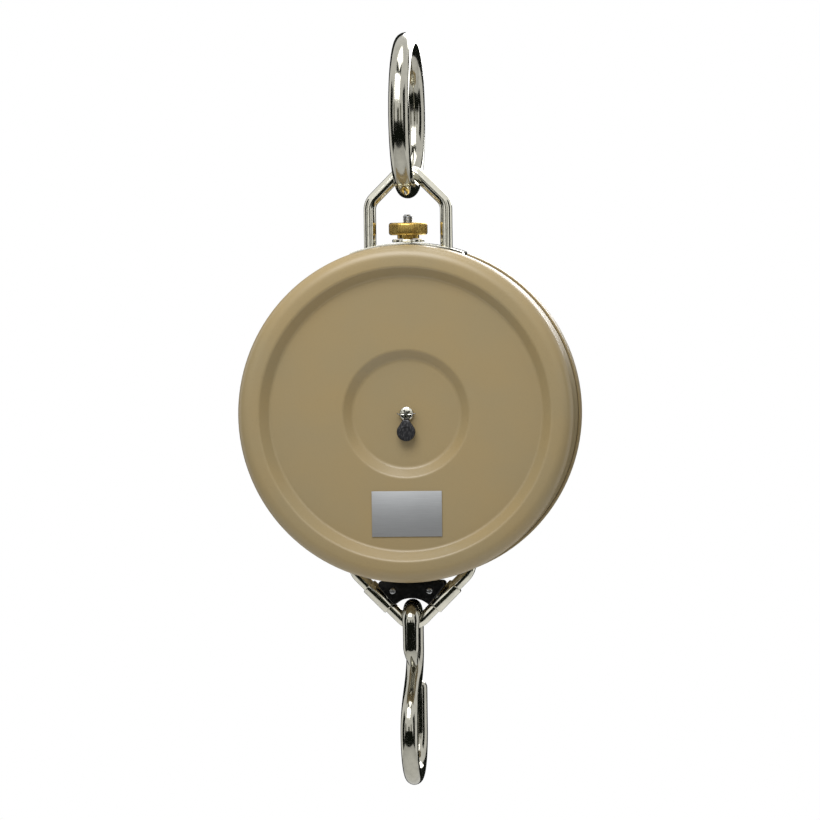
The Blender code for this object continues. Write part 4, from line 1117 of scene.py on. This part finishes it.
class SCALE_OT_stage(bpy.types.Operator):
    """Pale floor, white world, soft lamps, dark cards and the camera"""

    bl_idname = "scale.stage"
    bl_label = "Stage"

    def execute(self, context):
        clear_selection()
        scene = context.scene
        scene.view_settings.view_transform = "Standard"
        world = bpy.data.worlds.new("studio")
        scene.world = world
        world.use_nodes = True
        tree = world.node_tree
        sky = tree.nodes["Background"]
        rays = tree.nodes.new("ShaderNodeLightPath")
        seen = tree.nodes.new("ShaderNodeMath")
        seen.operation = "MAXIMUM"
        seen_any = tree.nodes.new("ShaderNodeMath")
        seen_any.operation = "MAXIMUM"
        tree.links.new(rays.outputs["Is Camera Ray"], seen.inputs[0])
        tree.links.new(rays.outputs["Is Glossy Ray"], seen.inputs[1])
        tree.links.new(seen.outputs[0], seen_any.inputs[0])
        tree.links.new(rays.outputs["Is Transmission Ray"], seen_any.inputs[1])
        level = tree.nodes.new("ShaderNodeMapRange")
        tree.links.new(seen_any.outputs[0], level.inputs["Value"])
        level.inputs["To Min"].default_value = WORLD_LEVEL
        level.inputs["To Max"].default_value = 1.0
        sky.inputs["Color"].default_value = (1, 1, 1, 1)
        tree.links.new(level.outputs[0], sky.inputs["Strength"])

        bpy.ops.mesh.primitive_plane_add(size=2.4, location=(0, 0, FLOOR))
        floor = context.object
        floor.name = "studio_floor"
        paper = plain_finish("floor_paper", (0.86, 0.86, 0.85), 0.9, 4 * MM, 0.985)
        floor.data.materials.append(paper)

        heart = (0, 0, DRUM.z)
        soft_lamp("key_lamp", (-0.10, -0.56, 0.40), (0.6, 0.45), 6.0, heart)
        soft_lamp("front_lamp", (0.3, 1.0, 0.36), (0.8, 0.8), 10, heart)
        soft_lamp("top_lamp", (0.1, -0.1, 1.4), (0.9, 0.9), 8, heart)
        for name, where, size, colour in DARK_CARDS:
            card(name, where, size, heart, colour)

        bpy.ops.object.camera_add()
        camera = context.object
        camera.name = "camera"
        camera.data.lens = 36.0 * VIEW_DISTANCE / VIEW_WIDTH
        camera.data.sensor_width = 36.0
        camera.data.clip_start = 0.05
        side, rise, far = radians(VIEW_SIDE), radians(VIEW_RISE), VIEW_DISTANCE
        back = Vector((sin(side) * cos(rise), -cos(side) * cos(rise), sin(rise)))
        camera.location = Vector(heart) + back * far
        turn = back.to_track_quat("Z", "Y") @ Matrix.Rotation(radians(VIEW_ROLL), 4, "Z").to_quaternion()
        camera.rotation_euler = turn.to_euler()
        camera.data.shift_x, camera.data.shift_y = VIEW_SHIFT
        scene.camera = camera
        return {"FINISHED"}


WORLD_LEVEL = 0.46
FLOOR = -0.95
VIEW_SIDE, VIEW_RISE, VIEW_ROLL = 6.5, 1.3, -0.7
VIEW_DISTANCE = 5.0
VIEW_WIDTH = 0.5604
VIEW_SHIFT = (-0.0005, 0.0035)
DARK, DUSK = (0.010, 0.012, 0.009), (0.14, 0.14, 0.105)
DARK_CARDS = (
    ("dark_back", (0, 1.9, -0.2), (4.6, 2.8), DARK),
    ("dark_left", (-2.0, -0.45, -0.2), (1.3, 2.4), DARK),
    ("dark_right", (2.0, -0.65, -0.2), (1.1, 2.4), DARK),
    ("dusk_left", (-1.45, -1.6, -0.35), (0.55, 1.8), DUSK),
    ("dark_middle", (-0.12, -2.1, -0.5), (0.36, 1.7), DARK),
    ("dusk_middle", (0.28, -2.1, -0.5), (0.4, 1.7), DUSK),
    ("dusk_right", (1.15, -1.9, -0.4), (0.5, 1.9), DUSK),
    ("dark_floor", (0, -0.9, -0.94), (3.4, 1.7), DARK),
    ("dark_sky", (0.0, -0.7, 1.9), (1.6, 0.8), DARK),
)

PIECES = (SCALE_OT_ring, SCALE_OT_bail, SCALE_OT_saddle, SCALE_OT_zero_nut, SCALE_OT_cover, SCALE_OT_seal,
          SCALE_OT_window, SCALE_OT_dial, SCALE_OT_pointer, SCALE_OT_guard, SCALE_OT_link, SCALE_OT_hook,
          SCALE_OT_springs, SCALE_OT_works, SCALE_OT_stage)


class SCALE_PT_panel(bpy.types.Panel):
    """Lists the sizes and the builders of the scale"""

    bl_idname = "SCALE_PT_panel"
    bl_label = "Spring scale"
    bl_space_type = "VIEW_3D"
    bl_region_type = "UI"
    bl_category = "Scale"

    def draw(self, context):
        for name in ScaleSizes.__annotations__:
            self.layout.prop(context.scene.scale_sizes, name)
        for piece in PIECES:
            self.layout.operator(piece.bl_idname)


def register():
    for kind in (ScaleSizes, *PIECES, SCALE_PT_panel):
        bpy.utils.register_class(kind)
    bpy.types.Scene.scale_sizes = bpy.props.PointerProperty(type=ScaleSizes)


def unregister():
    del bpy.types.Scene.scale_sizes
    for kind in (SCALE_PT_panel, *reversed(PIECES), ScaleSizes):
        bpy.utils.unregister_class(kind)


FINISH_SLOT = {finish: slot for slot, finish in SLOT_FINISH.items()}
# The darkened chrome copy, which holds painted shade, goes to the chrome slot.
FINISH_SLOT.update(ink="black_paint", spring="steel", forged="chrome")


def main():
    register()
    make_finishes()
    for piece in PIECES:
        group, name = piece.bl_idname.split(".")
        getattr(getattr(bpy.ops, group), name)()


if __name__ == "__main__":
    main()
